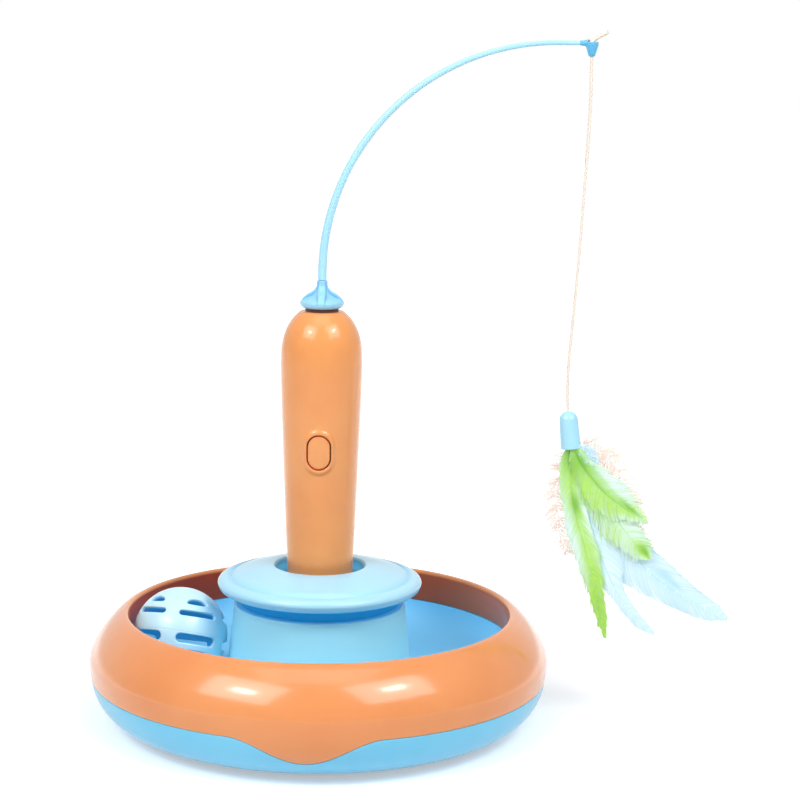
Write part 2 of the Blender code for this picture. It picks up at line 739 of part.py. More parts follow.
BALL_CENTRE = (
    TRACK_RADIUS * math.cos(BALL_ANGLE),
    TRACK_RADIUS * math.sin(BALL_ANGLE),
    TRACK_FLOOR_Z + CLEARANCE + BALL_RADIUS,
)
# Each row: middle latitude, half height and half length in degrees, and whether its top is arched.
SLOT_ROWS = [(15.5, 5.6, 26.5, False), (35.0, 4.2, 17.0, True)]
# Points along a slot's straight edge, as shares of its half length
ARCH_FOOT_SHARES = (-0.5, 0, 0.5)
SLOT_EDGE_SHARES = (-0.33, 0.33)


def slot_outline(middle, half_height, half_length, arched):
    """Longitude and latitude points, in degrees from the slot's middle, of a round-ended slot."""
    if arched:
        low = [(half_length * share, -half_height) for share in ARCH_FOOT_SHARES]
        top = [
            (half_length * math.cos(a), -half_height + 2 * half_height * math.sin(a))
            for a in np.linspace(0, math.pi, 5)
        ]
        return low + top
    end = half_height / math.cos(math.radians(middle))
    straight = half_length - end
    outline = []
    for side in (1, -1):
        outline += [(side * straight * share, -side * half_height) for share in SLOT_EDGE_SHARES]
        for a in np.linspace(-math.pi / 2, math.pi / 2, 4):
            outline.append((side * (straight + end * math.cos(a)), side * half_height * math.sin(a)))
    return outline


def ball_slots():
    """Radial prisms through the upper half's wall, one for each slot."""
    prisms = []
    for row in SLOT_ROWS:
        outline = slot_outline(*row)
        for slot in range(SLOTS_PER_ROW):
            turn = 2 * math.pi * slot / SLOTS_PER_ROW
            points = []
            for radius in (BALL_RADIUS - 3 * BALL_WALL, BALL_RADIUS + 3 * BALL_WALL):
                for along, up in outline:
                    lon, lat = turn + math.radians(along), math.radians(row[0] + up)
                    points.append((radius * math.cos(lat) * math.cos(lon),
                                   radius * math.cos(lat) * math.sin(lon), radius * math.sin(lat)))
            prisms.append((points, prism(outline, 0, 1)[1]))
    return merge(*prisms)


def make_ball(parent):
    """Two moulded halves, each a hollow hemisphere with two rows of slots."""
    lean_axis = (-math.sin(BALL_LEAN_TOWARDS), math.cos(BALL_LEAN_TOWARDS), 0)
    turn = lean_matrix(lean_axis, BALL_LEAN) @ lean_matrix((0, 0, 1), BALL_SPIN)
    inner_radius = BALL_RADIUS - BALL_WALL
    seam = CLEARANCE / 2
    outer = arc((0, 0), (BALL_RADIUS, BALL_RADIUS), 0, math.pi / 2, 6)
    inner = arc((0, 0), (inner_radius, inner_radius), math.pi / 2, 0, 4)
    outer[0], inner[-1] = (BALL_RADIUS, seam), (inner_radius, seam)
    outer[-1], inner[0] = (0, BALL_RADIUS), (0, inner_radius)
    hemisphere = turned(outer + inner, full_turn(BALL_STEPS))

    def placed(shape, side):
        points = np.array(shape[0], float) * (1, 1, side)
        return points @ turn.T + BALL_CENTRE, shape[1]

    for side, name in ((1, "ball_upper_half"), (-1, "ball_lower_half")):
        half = add(name, *placed(hemisphere, side), PALE_SKY, 0.25, parent=parent)
        combine(half, cutter(f"{name}_slots", *placed(ball_slots(), side)), "DIFFERENCE")


def lean_matrix(axis, angle):
    """Rotation matrix by an angle about a unit axis."""
    kx, ky, kz = axis
    cross = np.array([[0, -kz, ky], [kz, 0, -kx], [-ky, kx, 0]])
    return np.eye(3) + math.sin(angle) * cross + (1 - math.cos(angle)) * cross @ cross


# Handle

def handle_radius(z):
    """Outside radius of the handle: a slow taper, then a dome."""
    if z >= DOME_BASE_Z:
        share = min((z - DOME_BASE_Z) / DOME_HEIGHT, 1)
        return DOME_RADIUS * (1 - share ** DOME_POWER) ** (1 / DOME_POWER)
    if z >= HANDLE_WAIST_Z:
        return HANDLE_RADIUS - (HANDLE_RADIUS - DOME_RADIUS) * (z - HANDLE_WAIST_Z) / WAIST_BAND
    share = (HANDLE_WAIST_Z - z) / (HANDLE_WAIST_Z - HANDLE_FOOT_Z)
    return HANDLE_RADIUS - (HANDLE_RADIUS - HANDLE_FOOT_RADIUS) * share ** HANDLE_TAPER_POWER


BUSH_FLANGE_TOP_Z = DOME_FLAT_Z - SHELL_WALL - CLEARANCE
GROOVE_FOOT_Z = HANDLE_FOOT_Z + COLLAR_HEIGHT
GROOVE_TOP_Z = GROOVE_FOOT_Z + GROOVE_HEIGHT
BORE_TOP_RADIUS = BUSH_RADIUS + CLEARANCE


# Heights of the dome's points, as shares of its rise
DOME_SHARES = (0, 0.38, 0.66, 0.86, 1)


def shell_profile():
    """Half section of the handle: outside going up, then the inside coming down."""
    taper = np.linspace(HANDLE_FOOT_Z + CORNER, HANDLE_WAIST_Z, 5)
    dome = [DOME_BASE_Z + DOME_RISE * share for share in DOME_SHARES]
    foot = handle_radius(HANDLE_FOOT_Z)
    outer = [(foot - CORNER / 2, HANDLE_FOOT_Z)] + [(handle_radius(z), z) for z in (*taper, *dome)]
    inner_dome = [(handle_radius(z) - SHELL_WALL, z - SHELL_WALL / 2) for z in (dome[3], dome[1])]
    inner_taper = [(handle_radius(z) - SHELL_WALL, z) for z in (HANDLE_WAIST_Z, taper[2])]
    inner = [(BORE_TOP_RADIUS, DOME_FLAT_Z), (BORE_TOP_RADIUS, DOME_FLAT_Z - SHELL_WALL),
             (handle_radius(DOME_FLAT_Z) - SHELL_WALL, DOME_FLAT_Z - SHELL_WALL)]
    collar = [(GROOVE_RADIUS, GROOVE_TOP_Z), (GROOVE_RADIUS, GROOVE_FOOT_Z),
              (COLLAR_RADIUS, GROOVE_FOOT_Z), (COLLAR_RADIUS, HANDLE_FOOT_Z)]
    return outer + inner + inner_dome + inner_taper + collar


def oval(half_width, half_height, steps):
    """A stadium outline in X and Z round the button's centre."""
    straight = half_height - half_width
    outline = []
    for angle in full_turn(steps):
        x, z = half_width * math.cos(angle), half_width * math.sin(angle)
        outline.append((x, BUTTON_Z + z + math.copysign(straight, z)))
    return outline


def on_handle(x, z, height):
    """The point of the handle's front at (x, z), raised by height."""
    return (x, -math.sqrt((handle_radius(z) + height) ** 2 - x * x), z)


def bezel_shape():
    outer = oval(BEZEL_HALF_WIDTH, BEZEL_HALF_HEIGHT, 20)
    rim = oval(BEZEL_HALF_WIDTH - CORNER / 2, BEZEL_HALF_HEIGHT - CORNER / 2, 20)
    inner = oval(BUTTON_HALF_WIDTH - CORNER, BUTTON_HALF_HEIGHT - CORNER, 20)
    loops = [
        [on_handle(x, z, -SHELL_WALL / 4) for x, z in outer],
        [on_handle(x, z, BEZEL_PROUD - CORNER / 2) for x, z in outer],
        [on_handle(x, z, BEZEL_PROUD) for x, z in rim],
        [on_handle(x, z, BEZEL_PROUD) for x, z in inner],
        [on_handle(x, z, -SHELL_WALL / 4) for x, z in inner],
    ]
    count = len(outer)
    faces = []
    for i in range(len(loops)):
        j = (i + 1) % len(loops)
        for k in range(count):
            m = (k + 1) % count
            faces.append([i * count + k, i * count + m, j * count + m, j * count + k])
    return [p for loop in loops for p in loop], faces


HANDLE_SCREWS = [(0.0, LOW_SCREW_Z), (-HIGH_SCREW_X, HIGH_SCREW_Z), (HIGH_SCREW_X, HIGH_SCREW_Z)]
SWITCH_BACK_Y = BOARD_Y - BOARD_THICK / 2 - CLEARANCE
SWITCH_FACE_Y = SWITCH_BACK_Y - SWITCH_HEIGHT
PLUNGER_TIP_Y = SWITCH_FACE_Y - PLUNGER_HEIGHT
PLUNGER_FOOT_Y = SWITCH_FACE_Y + CLEARANCE


def notch_cutters(sides):
    """Gaps in the collar that let the battery cap's lugs in, at the cap's open angle."""
    shapes = []
    half = LUG_HALF_ANGLE + NOTCH_SPARE_ANGLE
    low, high = HANDLE_FOOT_Z - OVERRUN, GROOVE_FOOT_Z + CLEARANCE
    inside = COLLAR_RADIUS - OVERRUN
    for side in sides:
        middle = side + CAP_TURN
        ring = [(inside, low), (GROOVE_RADIUS, low), (GROOVE_RADIUS, high), (inside, high)]
        shapes.append(half_turned(ring, middle - half, 2 * half, 3))
    return merge(*shapes)


def core_profile():
    """The handle's inside and half its wall, for trimming what the shells carry."""
    levels = np.linspace(HANDLE_FOOT_Z, DOME_FLAT_Z - SHELL_WALL, 9)
    side = [(handle_radius(z) - SHELL_WALL / 2, z) for z in levels]
    return [(0, levels[0])] + side + [(0, levels[-1])]


def make_handle_shells():
    profile = shell_profile()
    shift = CLEARANCE / 2
    bore = SCREW_SHANK_RADIUS + CLEARANCE
    boss = bore + BOSS_WALL
    head = SCREW_HEAD_RADIUS + CLEARANCE
    front_half = half_turned(profile, math.pi, math.pi, HALF_STEPS)
    front = add("handle_front_shell", *moved(front_half, (0, -shift, 0)), ORANGE, 0.3)
    back_half = half_turned(profile, 0, math.pi, HALF_STEPS)
    back = add("handle_back_shell", *moved(back_half, (0, shift, 0)), ORANGE, 0.3)
    core = cutter("handle_core", *turned(core_profile(), full_turn(2 * HALF_STEPS)))
    seat = HANDLE_SCREW_HEAD_Y - SCREW_HEAD_HEIGHT - CLEARANCE
    tip = HANDLE_SCREW_HEAD_Y - HANDLE_SCREW_LENGTH - CLEARANCE
    front_bosses, back_bosses, front_holes, back_holes = [], [], [], []
    for place in HANDLE_SCREWS:
        front_outline = circle(boss, TINY_STEPS, place, math.pi / TINY_STEPS)
        back_outline = circle(head + SEAT_WALL, SMALL_STEPS, place, math.pi / SMALL_STEPS)
        front_bosses.append(prism(front_outline, -HANDLE_RADIUS, -HANDLE_BOSS_TIP_Y, "y"))
        back_bosses.append(prism(back_outline, HANDLE_BOSS_TIP_Y, HANDLE_RADIUS, "y"))
        front_holes.append(prism(circle(bore, TINY_STEPS, place), tip, 0, "y"))
        stepped = [(0, 0), (bore, 0), (bore, seat), (head, seat), (head, HANDLE_RADIUS + OVERRUN),
                   (0, HANDLE_RADIUS + OVERRUN)]
        points, hole_faces = turned(stepped, full_turn(SMALL_STEPS))
        back_holes.append(([(place[0] + x, z, place[1] + y) for x, y, z in points], hole_faces))
    post_z = BOARD_HEIGHT / 2 - BOARD_POST_RADIUS * 2
    post_x = BOARD_WIDTH / 2 - BOARD_POST_RADIUS * 1.5
    for side in (-post_x, post_x):
        for z in (BUTTON_Z - post_z, BUTTON_Z + post_z):
            outline = circle(BOARD_POST_RADIUS, TINY_STEPS, (side, z))
            front_bosses.append(prism(outline, -HANDLE_RADIUS, SWITCH_BACK_Y, "y"))
    combine(front, cutter("button_bezel", *bezel_shape()), "UNION")
    for shell, bosses in ((front, front_bosses), (back, back_bosses)):
        solids = cutter(f"{shell.name}_bosses", *merge(*bosses))
        combine(solids, core, "INTERSECT")
        combine(shell, solids, "UNION")
    opening = prism(oval(BUTTON_HALF_WIDTH + CLEARANCE / 2, BUTTON_HALF_HEIGHT + CLEARANCE / 2, 20),
                    -HANDLE_RADIUS - OVERRUN, -HANDLE_RADIUS / 2, "y")
    cut_front = cutter("front_shell_holes", *merge(opening, *front_holes, notch_cutters([math.pi])))
    combine(front, cut_front, "DIFFERENCE")
    combine(back, cutter("back_shell_holes", *merge(*back_holes, notch_cutters([0]))), "DIFFERENCE")


def make_handle_screws():
    for number, (x, z) in enumerate(HANDLE_SCREWS, 1):
        points, faces = screw_shape(HANDLE_SCREW_LENGTH)
        points = [(px + x, HANDLE_SCREW_HEAD_Y - pz, py + z) for px, py, pz in points]
        add(f"handle_screw_{number}", points, faces, STEEL, 0.3, 1.0)


def make_button(parent):
    """The button's plug, domed with the handle, and the switch's plunger that it pushes."""
    outer = oval(BUTTON_HALF_WIDTH - CLEARANCE / 2, BUTTON_HALF_HEIGHT - CLEARANCE / 2, 20)
    rim = oval(BUTTON_HALF_WIDTH - CORNER / 2, BUTTON_HALF_HEIGHT - CORNER / 2, 20)
    back_y = PLUNGER_TIP_Y - CLEARANCE
    loops = [
        [(x, back_y, z) for x, z in outer],
        [on_handle(x, z, BUTTON_PROUD - CORNER / 2) for x, z in outer],
        [on_handle(x, z, BUTTON_PROUD) for x, z in rim],
    ]
    count = len(outer)
    points = [p for loop in loops for p in loop]
    faces = []
    for i in range(len(loops) - 1):
        for k in range(count):
            m = (k + 1) % count
            faces.append([i * count + k, i * count + m, (i + 1) * count + m, (i + 1) * count + k])
    points.append(on_handle(0, BUTTON_Z, BUTTON_PROUD))
    crown = (len(loops) - 1) * count
    faces += [[crown + k, crown + (k + 1) % count, len(points) - 1] for k in range(count)]
    faces.append(list(range(count)))
    add("power_button", points, faces, ORANGE, 0.35, parent=parent)
    section = circle(PLUNGER_RADIUS, SMALL_STEPS, (0, BUTTON_Z))
    plunger = prism(section, PLUNGER_TIP_Y, PLUNGER_FOOT_Y, "y")
    add("switch_plunger", *plunger, RUBBER, 0.5, parent=parent)


def make_circuit():
    half_width, half_thick = BOARD_WIDTH / 2, BOARD_THICK / 2
    low = (-half_width, BOARD_Y - half_thick, BUTTON_Z - BOARD_HEIGHT / 2)
    high = (half_width, BOARD_Y + half_thick, BUTTON_Z + BOARD_HEIGHT / 2)
    add("circuit_board", *box(low, high), BOARD_GREEN, 0.5)
    half = SWITCH_SIDE / 2
    body = box((-half, SWITCH_FACE_Y, BUTTON_Z - half), (half, SWITCH_BACK_Y, BUTTON_Z + half))
    switch = add("tact_switch", *body, RUBBER, 0.5)
    well_end = PLUNGER_FOOT_Y + BUTTON_TRAVEL + CLEARANCE
    section = circle(PLUNGER_RADIUS + CLEARANCE, SMALL_STEPS, (0, BUTTON_Z))
    well = prism(section, SWITCH_FACE_Y - OVERRUN, well_end, "y")
    combine(switch, cutter("plunger_well", *well), "DIFFERENCE")


# Battery compartment

CELL_PLACES = ring_places(CELL_COUNT, CELL_CIRCLE, math.pi / 2)
RIB_PLACES = ring_places(CELL_COUNT, CARRIER_RADIUS - CARRIER_RIB_RADIUS - CLEARANCE, -math.pi / 2)


def make_batteries():
    nub = CELL_RADIUS * CELL_NUB_SHARE
    shoulder = CELL_LENGTH * CELL_SHOULDER_SHARE
    for number, place in enumerate(CELL_PLACES, 1):
        profile = [(0, 0), (CELL_RADIUS, 0), (CELL_RADIUS, shoulder), (nub, shoulder),
                   (nub, CELL_LENGTH), (0, CELL_LENGTH)]
        shape = moved(turned(profile, full_turn(SMALL_STEPS), place), (0, 0, CELL_FOOT_Z))
        add(f"battery_cell_{number}", *shape, CELL_GREY, 0.35, 0.5)
    low, high = CELL_FOOT_Z - CLEARANCE, CELL_TOP_Z + CLEARANCE
    carrier = add(
        "battery_carrier",
        *prism(circle(CARRIER_RADIUS, 2 * SMALL_STEPS), high, high + CARRIER_PLATE), RUBBER, 0.5,
    )
    half_plate = CARRIER_PLATE / 2
    ribs = [
        prism(circle(CARRIER_RIB_RADIUS, TINY_STEPS, place), low - half_plate, high + half_plate)
        for place in RIB_PLACES
    ]
    foot = tube(CARRIER_RADIUS - BOSS_WALL, CARRIER_RADIUS, low - CARRIER_PLATE, low, 2 * SMALL_STEPS)
    combine(carrier, cutter("carrier_ribs", *merge(*ribs)), "UNION")
    combine(carrier, cutter("carrier_foot", *foot), "UNION")
    plate_z = high + CARRIER_PLATE + CLEARANCE
    plate = prism(circle(CARRIER_RADIUS, 2 * SMALL_STEPS), plate_z, plate_z + CONTACT_THICK)
    add("upper_contact_plate", *plate, BRASS, 0.3, 1.0)


def make_battery_cap(parent):
    """Twist cap: an outer disc that meets the handle, a plug, and two lugs in the groove."""
    disc_top = HANDLE_FOOT_Z - CLEARANCE
    outer = handle_radius(HANDLE_FOOT_Z) - CORNER / 2
    plug = COLLAR_RADIUS - CLEARANCE
    plug_top = CELL_FOOT_Z - CLEARANCE * 2 - CARRIER_PLATE - CONTACT_THICK * 2 - CLEARANCE
    profile = [(0, BATTERY_CAP_FOOT_Z), (outer - 2 * CORNER, BATTERY_CAP_FOOT_Z),
               (outer - CORNER, BATTERY_CAP_FOOT_Z + CORNER), (outer, disc_top), (plug, disc_top),
               (plug, plug_top), (0, plug_top)]
    cap = add("battery_cap", *turned(profile, full_turn(2 * HALF_STEPS)), ORANGE, 0.35, parent=parent)
    lug_low = GROOVE_FOOT_Z + CLEARANCE
    lug_high = lug_low + LUG_HEIGHT
    lug_in, lug_out = plug - CORNER, plug + LUG_REACH
    ring = [(lug_in, lug_low), (lug_out, lug_low), (lug_out, lug_high), (lug_in, lug_high)]
    lugs = [half_turned(ring, side - LUG_HALF_ANGLE, 2 * LUG_HALF_ANGLE, 3) for side in (0, math.pi)]
    combine(cap, cutter("cap_lugs", *merge(*lugs)), "UNION")
    half = COIN_SLOT_WIDTH / 2
    reach = outer - 3 * CORNER
    slot_low, slot_high = BATTERY_CAP_FOOT_Z - OVERRUN, BATTERY_CAP_FOOT_Z + COIN_SLOT_DEPTH
    slot = box((-reach, -half, slot_low), (reach, half, slot_high))
    combine(cap, cutter("coin_slot", *slot), "DIFFERENCE")
    plate_low = plug_top + CLEARANCE
    plate_radius = CARRIER_RADIUS - BOSS_WALL - CLEARANCE
    disc = prism(circle(plate_radius, 2 * SMALL_STEPS), plate_low, plate_low + CONTACT_THICK)
    plate = add("lower_contact_plate", *disc, BRASS, 0.3, 1.0, parent=parent)
    spring_foot, spring_top = plate_low + CONTACT_THICK / 2, CELL_FOOT_Z - CLEARANCE
    cone = [(0, spring_foot), (CELL_RADIUS / 2, spring_foot), (CELL_RADIUS / 4, spring_top), (0, spring_top)]
    springs = [turned(cone, full_turn(TINY_STEPS), place) for place in CELL_PLACES]
    combine(plate, cutter("contact_springs", *merge(*springs)), "UNION")


# Motor and gear train

PITCH_SMALL = GEAR_MODULE * PINION_TEETH / 2
PITCH_LARGE = GEAR_MODULE * WHEEL_TEETH / 2
GEAR_CENTRES = PITCH_SMALL + PITCH_LARGE
LAYSHAFT = (0.0, GEAR_CENTRES)
GEAR_LEVELS = [GEAR_FIRST_Z + GEAR_LEVEL_PITCH * level for level in range(4)]
LOWER_PLATE_Z = GEAR_FIRST_Z - PLATE_GAP - PLATE_THICK
UPPER_PLATE_Z = GEAR_LEVELS[3] + GEAR_THICK + PLATE_GAP
TO_LAYSHAFT = math.pi / 2
TO_MAIN = -math.pi / 2


def gear_outline(teeth, tooth_at, centre):
    """Teeth thinned by the backlash, with one tooth's middle at the angle tooth_at.

    A pinion's flank bends at the pitch circle. A wheel's is nearly straight, so it is drawn from its
    root to its tip through the same width at the pitch circle.
    """
    pitch = GEAR_MODULE * teeth / 2
    base = pitch * math.cos(PRESSURE_ANGLE)
    root, tip = pitch - DEDENDUM_SHARE * GEAR_MODULE, pitch + ADDENDUM_SHARE * GEAR_MODULE
    half_at_pitch = math.pi / (2 * teeth) - GEAR_BACKLASH / (2 * pitch)

    def spread(radius):
        pressure = math.acos(min(base / radius, 1))
        return math.tan(pressure) - pressure

    half_at_tip = half_at_pitch + spread(pitch) - spread(tip)
    if teeth == PINION_TEETH:
        half_at_root = half_at_pitch + spread(pitch)
        flank = [(root, half_at_root), (pitch, half_at_pitch), (tip, half_at_tip)]
    else:
        half_at_root = half_at_pitch + (half_at_pitch - half_at_tip) * (pitch - root) / (tip - pitch)
        flank = [(root, half_at_root), (tip, half_at_tip)]
    outline = []
    for tooth in range(teeth):
        middle = tooth_at + 2 * math.pi * tooth / teeth
        outline += [(radius, middle - half) for radius, half in flank]
        outline += [(radius, middle + half) for radius, half in reversed(flank)]
    return [(centre[0] + r * math.cos(a), centre[1] + r * math.sin(a)) for r, a in outline]


def gap_at(angle, teeth):
    """The angle of a tooth's middle that leaves a gap at the given angle."""
    return angle + math.pi / teeth


def make_cluster(name, level, centre, toward, parent):
    """A wheel with a small gear on top; both ride loose on the same shaft."""
    low = GEAR_LEVELS[level]
    top = GEAR_LEVELS[level + 1] + GEAR_THICK
    wheel = gear_outline(WHEEL_TEETH, gap_at(toward, WHEEL_TEETH), centre)
    gear = add(name, *prism(wheel, low, low + GEAR_THICK), NATURAL, 0.45, parent=parent)
    small = prism(gear_outline(PINION_TEETH, toward, centre), low + GEAR_THICK / 2, top)
    combine(gear, cutter(f"{name}_small_gear", *small), "UNION")
    bore = prism(circle(LAYSHAFT_RADIUS + CLEARANCE, TINY_STEPS, centre), low - OVERRUN, top + OVERRUN)
    combine(gear, cutter(f"{name}_bore", *bore), "DIFFERENCE")


def make_gear_train(joints):
    centre = (0, 0)
    pinion_low = GEAR_LEVELS[0] - PLATE_GAP / 2
    pinion_outline = gear_outline(PINION_TEETH, TO_LAYSHAFT, centre)
    pinion_shape = prism(pinion_outline, pinion_low, GEAR_LEVELS[0] + GEAR_THICK)
    pinion = add("motor_pinion", *pinion_shape, BRASS, 0.35, 0.9, parent=joints["pinion"])
    shaft_foot = MOTOR_FOOT_Z + MOTOR_LENGTH / 2 + CLEARANCE
    shaft = prism(circle(MOTOR_SHAFT_RADIUS, TINY_STEPS), shaft_foot, pinion_low + GEAR_THICK / 2)
    combine(pinion, cutter("motor_shaft", *shaft), "UNION")
    make_cluster("first_cluster_gear", 0, LAYSHAFT, TO_MAIN, joints["first"])
    make_cluster("second_cluster_gear", 1, centre, TO_LAYSHAFT, joints["second"])
    make_cluster("third_cluster_gear", 2, LAYSHAFT, TO_MAIN, joints["third"])
    low = GEAR_LEVELS[3]
    wheel = gear_outline(WHEEL_TEETH, gap_at(TO_LAYSHAFT, WHEEL_TEETH), centre)
    output = add("output_gear", *prism(wheel, low, low + GEAR_THICK), NATURAL, 0.45, parent=joints["rotor"])
    bore = prism(circle(OUTPUT_RADIUS + CLEARANCE, TINY_STEPS), low - OVERRUN, low + GEAR_THICK + OVERRUN)
    combine(output, cutter("output_gear_bore", *bore), "DIFFERENCE")


def bored(radius, low, high, centre=(0, 0)):
    """A round cutter that overruns both faces of a plate."""
    return prism(circle(radius, TINY_STEPS, centre), low - OVERRUN, high + OVERRUN)


def make_gearbox():
    """Two plates, the pillars between them, the layshaft pin and the motor below."""
    lower_top = LOWER_PLATE_Z + PLATE_THICK
    upper_top = UPPER_PLATE_Z + PLATE_THICK
    lower_radius = handle_radius(LOWER_PLATE_Z) - SHELL_WALL - CLEARANCE * 2
    upper_radius = handle_radius(upper_top) - SHELL_WALL - CLEARANCE * 2
    pin_hole = LAYSHAFT_RADIUS + CLEARANCE
    disc = prism(circle(lower_radius, 2 * HALF_STEPS), LOWER_PLATE_Z, lower_top)
    lower = add("gearbox_lower_plate", *disc, NATURAL, 0.45)
    pillar_low, pillar_high = LOWER_PLATE_Z + PLATE_THICK / 2, UPPER_PLATE_Z - CLEARANCE
    pillars = []
    for angle in PILLAR_ANGLES:
        place = (PILLAR_CIRCLE * math.cos(angle), PILLAR_CIRCLE * math.sin(angle))
        pillars.append(prism(circle(PILLAR_RADIUS, TINY_STEPS, place), pillar_low, pillar_high))
    combine(lower, cutter("gearbox_pillars", *merge(*pillars)), "UNION")
    holes = merge(
        bored(MOTOR_SHAFT_RADIUS + 2 * CLEARANCE, LOWER_PLATE_Z, lower_top),
        bored(pin_hole, LOWER_PLATE_Z, lower_top, LAYSHAFT),
    )
    combine(lower, cutter("lower_plate_holes", *holes), "DIFFERENCE")
    disc = prism(circle(upper_radius, 2 * HALF_STEPS), UPPER_PLATE_Z, upper_top)
    upper = add("gearbox_upper_plate", *disc, NATURAL, 0.45)
    holes = merge(
        bored(OUTPUT_RADIUS + CLEARANCE, UPPER_PLATE_Z, upper_top),
        bored(pin_hole, UPPER_PLATE_Z, upper_top, LAYSHAFT),
    )
    combine(upper, cutter("upper_plate_holes", *holes), "DIFFERENCE")
    pin = prism(circle(LAYSHAFT_RADIUS, TINY_STEPS, LAYSHAFT), LOWER_PLATE_Z, upper_top)
    add("layshaft", *pin, STEEL, 0.25, 1.0)

    motor_top = LOWER_PLATE_Z - CLEARANCE
    can = prism(circle(MOTOR_RADIUS, 2 * SMALL_STEPS), MOTOR_FOOT_Z, motor_top)
    motor = add("motor_can", *can, STEEL, 0.3, 1.0)
    bore_foot = MOTOR_FOOT_Z + MOTOR_LENGTH / 2
    bore = prism(circle(MOTOR_SHAFT_RADIUS + CLEARANCE, TINY_STEPS), bore_foot, motor_top + OVERRUN)
    combine(motor, cutter("motor_bore", *bore), "DIFFERENCE")
    cap_top = MOTOR_FOOT_Z - CLEARANCE
    end_cap = prism(circle(MOTOR_RADIUS - CORNER / 2, 2 * SMALL_STEPS), cap_top - MOTOR_CAP_HEIGHT, cap_top)
    add("motor_end_cap", *end_cap, RUBBER, 0.5)


def make_output(parent):
    """The output shaft, stepped down below its gear, and the bush that carries it in the dome."""
    tail_foot = GEAR_LEVELS[1] + CLEARANCE
    step_z = GEAR_LEVELS[3]
    profile = [(0, tail_foot), (OUTPUT_TAIL_RADIUS, tail_foot), (OUTPUT_TAIL_RADIUS, step_z),
               (OUTPUT_RADIUS, step_z), (OUTPUT_RADIUS, OUTPUT_TOP_Z), (0, OUTPUT_TOP_Z)]
    add("output_shaft", *turned(profile, full_turn(SMALL_STEPS)), STEEL, 0.25, 1.0, parent=parent)
    flange_low, bush_top = BUSH_FLANGE_TOP_Z - BUSH_FLANGE, DOME_FLAT_Z + CORNER
    bore = OUTPUT_RADIUS + CLEARANCE
    bush = [(bore, flange_low), (BUSH_FLANGE_RADIUS, flange_low), (BUSH_FLANGE_RADIUS, BUSH_FLANGE_TOP_Z),
            (BUSH_RADIUS, BUSH_FLANGE_TOP_Z), (BUSH_RADIUS, bush_top), (bore, bush_top)]
    add("output_bush", *turned(bush, full_turn(SMALL_STEPS)), BRASS, 0.35, 0.9)


def make_hub(parent):
    """A round skirt with a tapered boss and four curved gussets."""
    bore = OUTPUT_RADIUS + CLEARANCE
    skirt_top = HUB_FOOT_Z + HUB_FLANK
    blind = OUTPUT_TOP_Z + CLEARANCE
    skirt = [(bore, HUB_FOOT_Z), (HUB_RADIUS - CORNER / 2, HUB_FOOT_Z), (HUB_RADIUS, HUB_FOOT_Z + CORNER / 2),
             (HUB_RADIUS, skirt_top), (HUB_RADIUS - CORNER, skirt_top + CORNER),
             (HUB_BOSS_RADIUS, skirt_top + CORNER * 1.5), (HUB_COLLAR_RADIUS, HUB_TOP_Z - CORNER),
             (HUB_COLLAR_RADIUS, HUB_TOP_Z), (0, HUB_TOP_Z), (0, blind), (bore, blind)]
    hub = add("rotor_hub", *turned(skirt, full_turn(2 * SMALL_STEPS)), SKY, 0.3, parent=parent)
    top_z = HUB_TOP_Z - CORNER * 2
    reach = HUB_RADIUS - CORNER
    curve_radii = (reach - HUB_COLLAR_RADIUS, top_z - skirt_top - CORNER / 2)
    curve = arc((reach, top_z), curve_radii, math.pi, 1.5 * math.pi, 3)
    outline = [(0, top_z)] + curve + [(reach, skirt_top), (0, skirt_top)]
    half = GUSSET_THICK / 2
    plates = []
    for quarter in range(2):
        both = outline + [(-x, z) for x, z in reversed(outline[1:-1])]
        points, faces = prism(both, -half, half, "y")
        if quarter:
            points = [(-y, x, z) for x, y, z in points]
        plates.append((points, faces))
    solids = [cutter(f"hub_gusset_{n}", *plate) for n, plate in enumerate(plates, 1)]
    for solid in solids:
        combine(hub, solid, "UNION")
    shaft_room = prism(circle(bore, SMALL_STEPS), HUB_FOOT_Z - OVERRUN, blind)
    combine(hub, cutter("hub_bore", *shaft_room), "DIFFERENCE")


# Rod, eyelet, cord and lure

ROD_FOOT_Z = HUB_TOP_Z + CLEARANCE
ROD_TOP_Z = ROD_FOOT_Z + ROD_STRAIGHT + ROD_BEND_RADIUS
ROD_END_X = ROD_BEND_RADIUS + ROD_REACH
EYELET_X = ROD_END_X + EYELET_SET


def rod_path():
    """Straight up, a quarter circle and a short level reach."""
    bend_z = ROD_FOOT_Z + ROD_STRAIGHT
    bend = [
        (ROD_BEND_RADIUS * (1 - math.cos(a)), 0, bend_z + ROD_BEND_RADIUS * math.sin(a))
        for a in np.linspace(0, math.pi / 2, 20)
    ]
    return [(0, 0, ROD_FOOT_Z)] + bend + [(ROD_END_X, 0, ROD_TOP_Z)]


def make_rod(parent):
    path = rod_path()
    radii = np.linspace(ROD_BASE_RADIUS, ROD_TIP_RADIUS, len(path))
    add("lure_rod", *swept(path, radii, TINY_STEPS), SKY, 0.35, parent=parent)


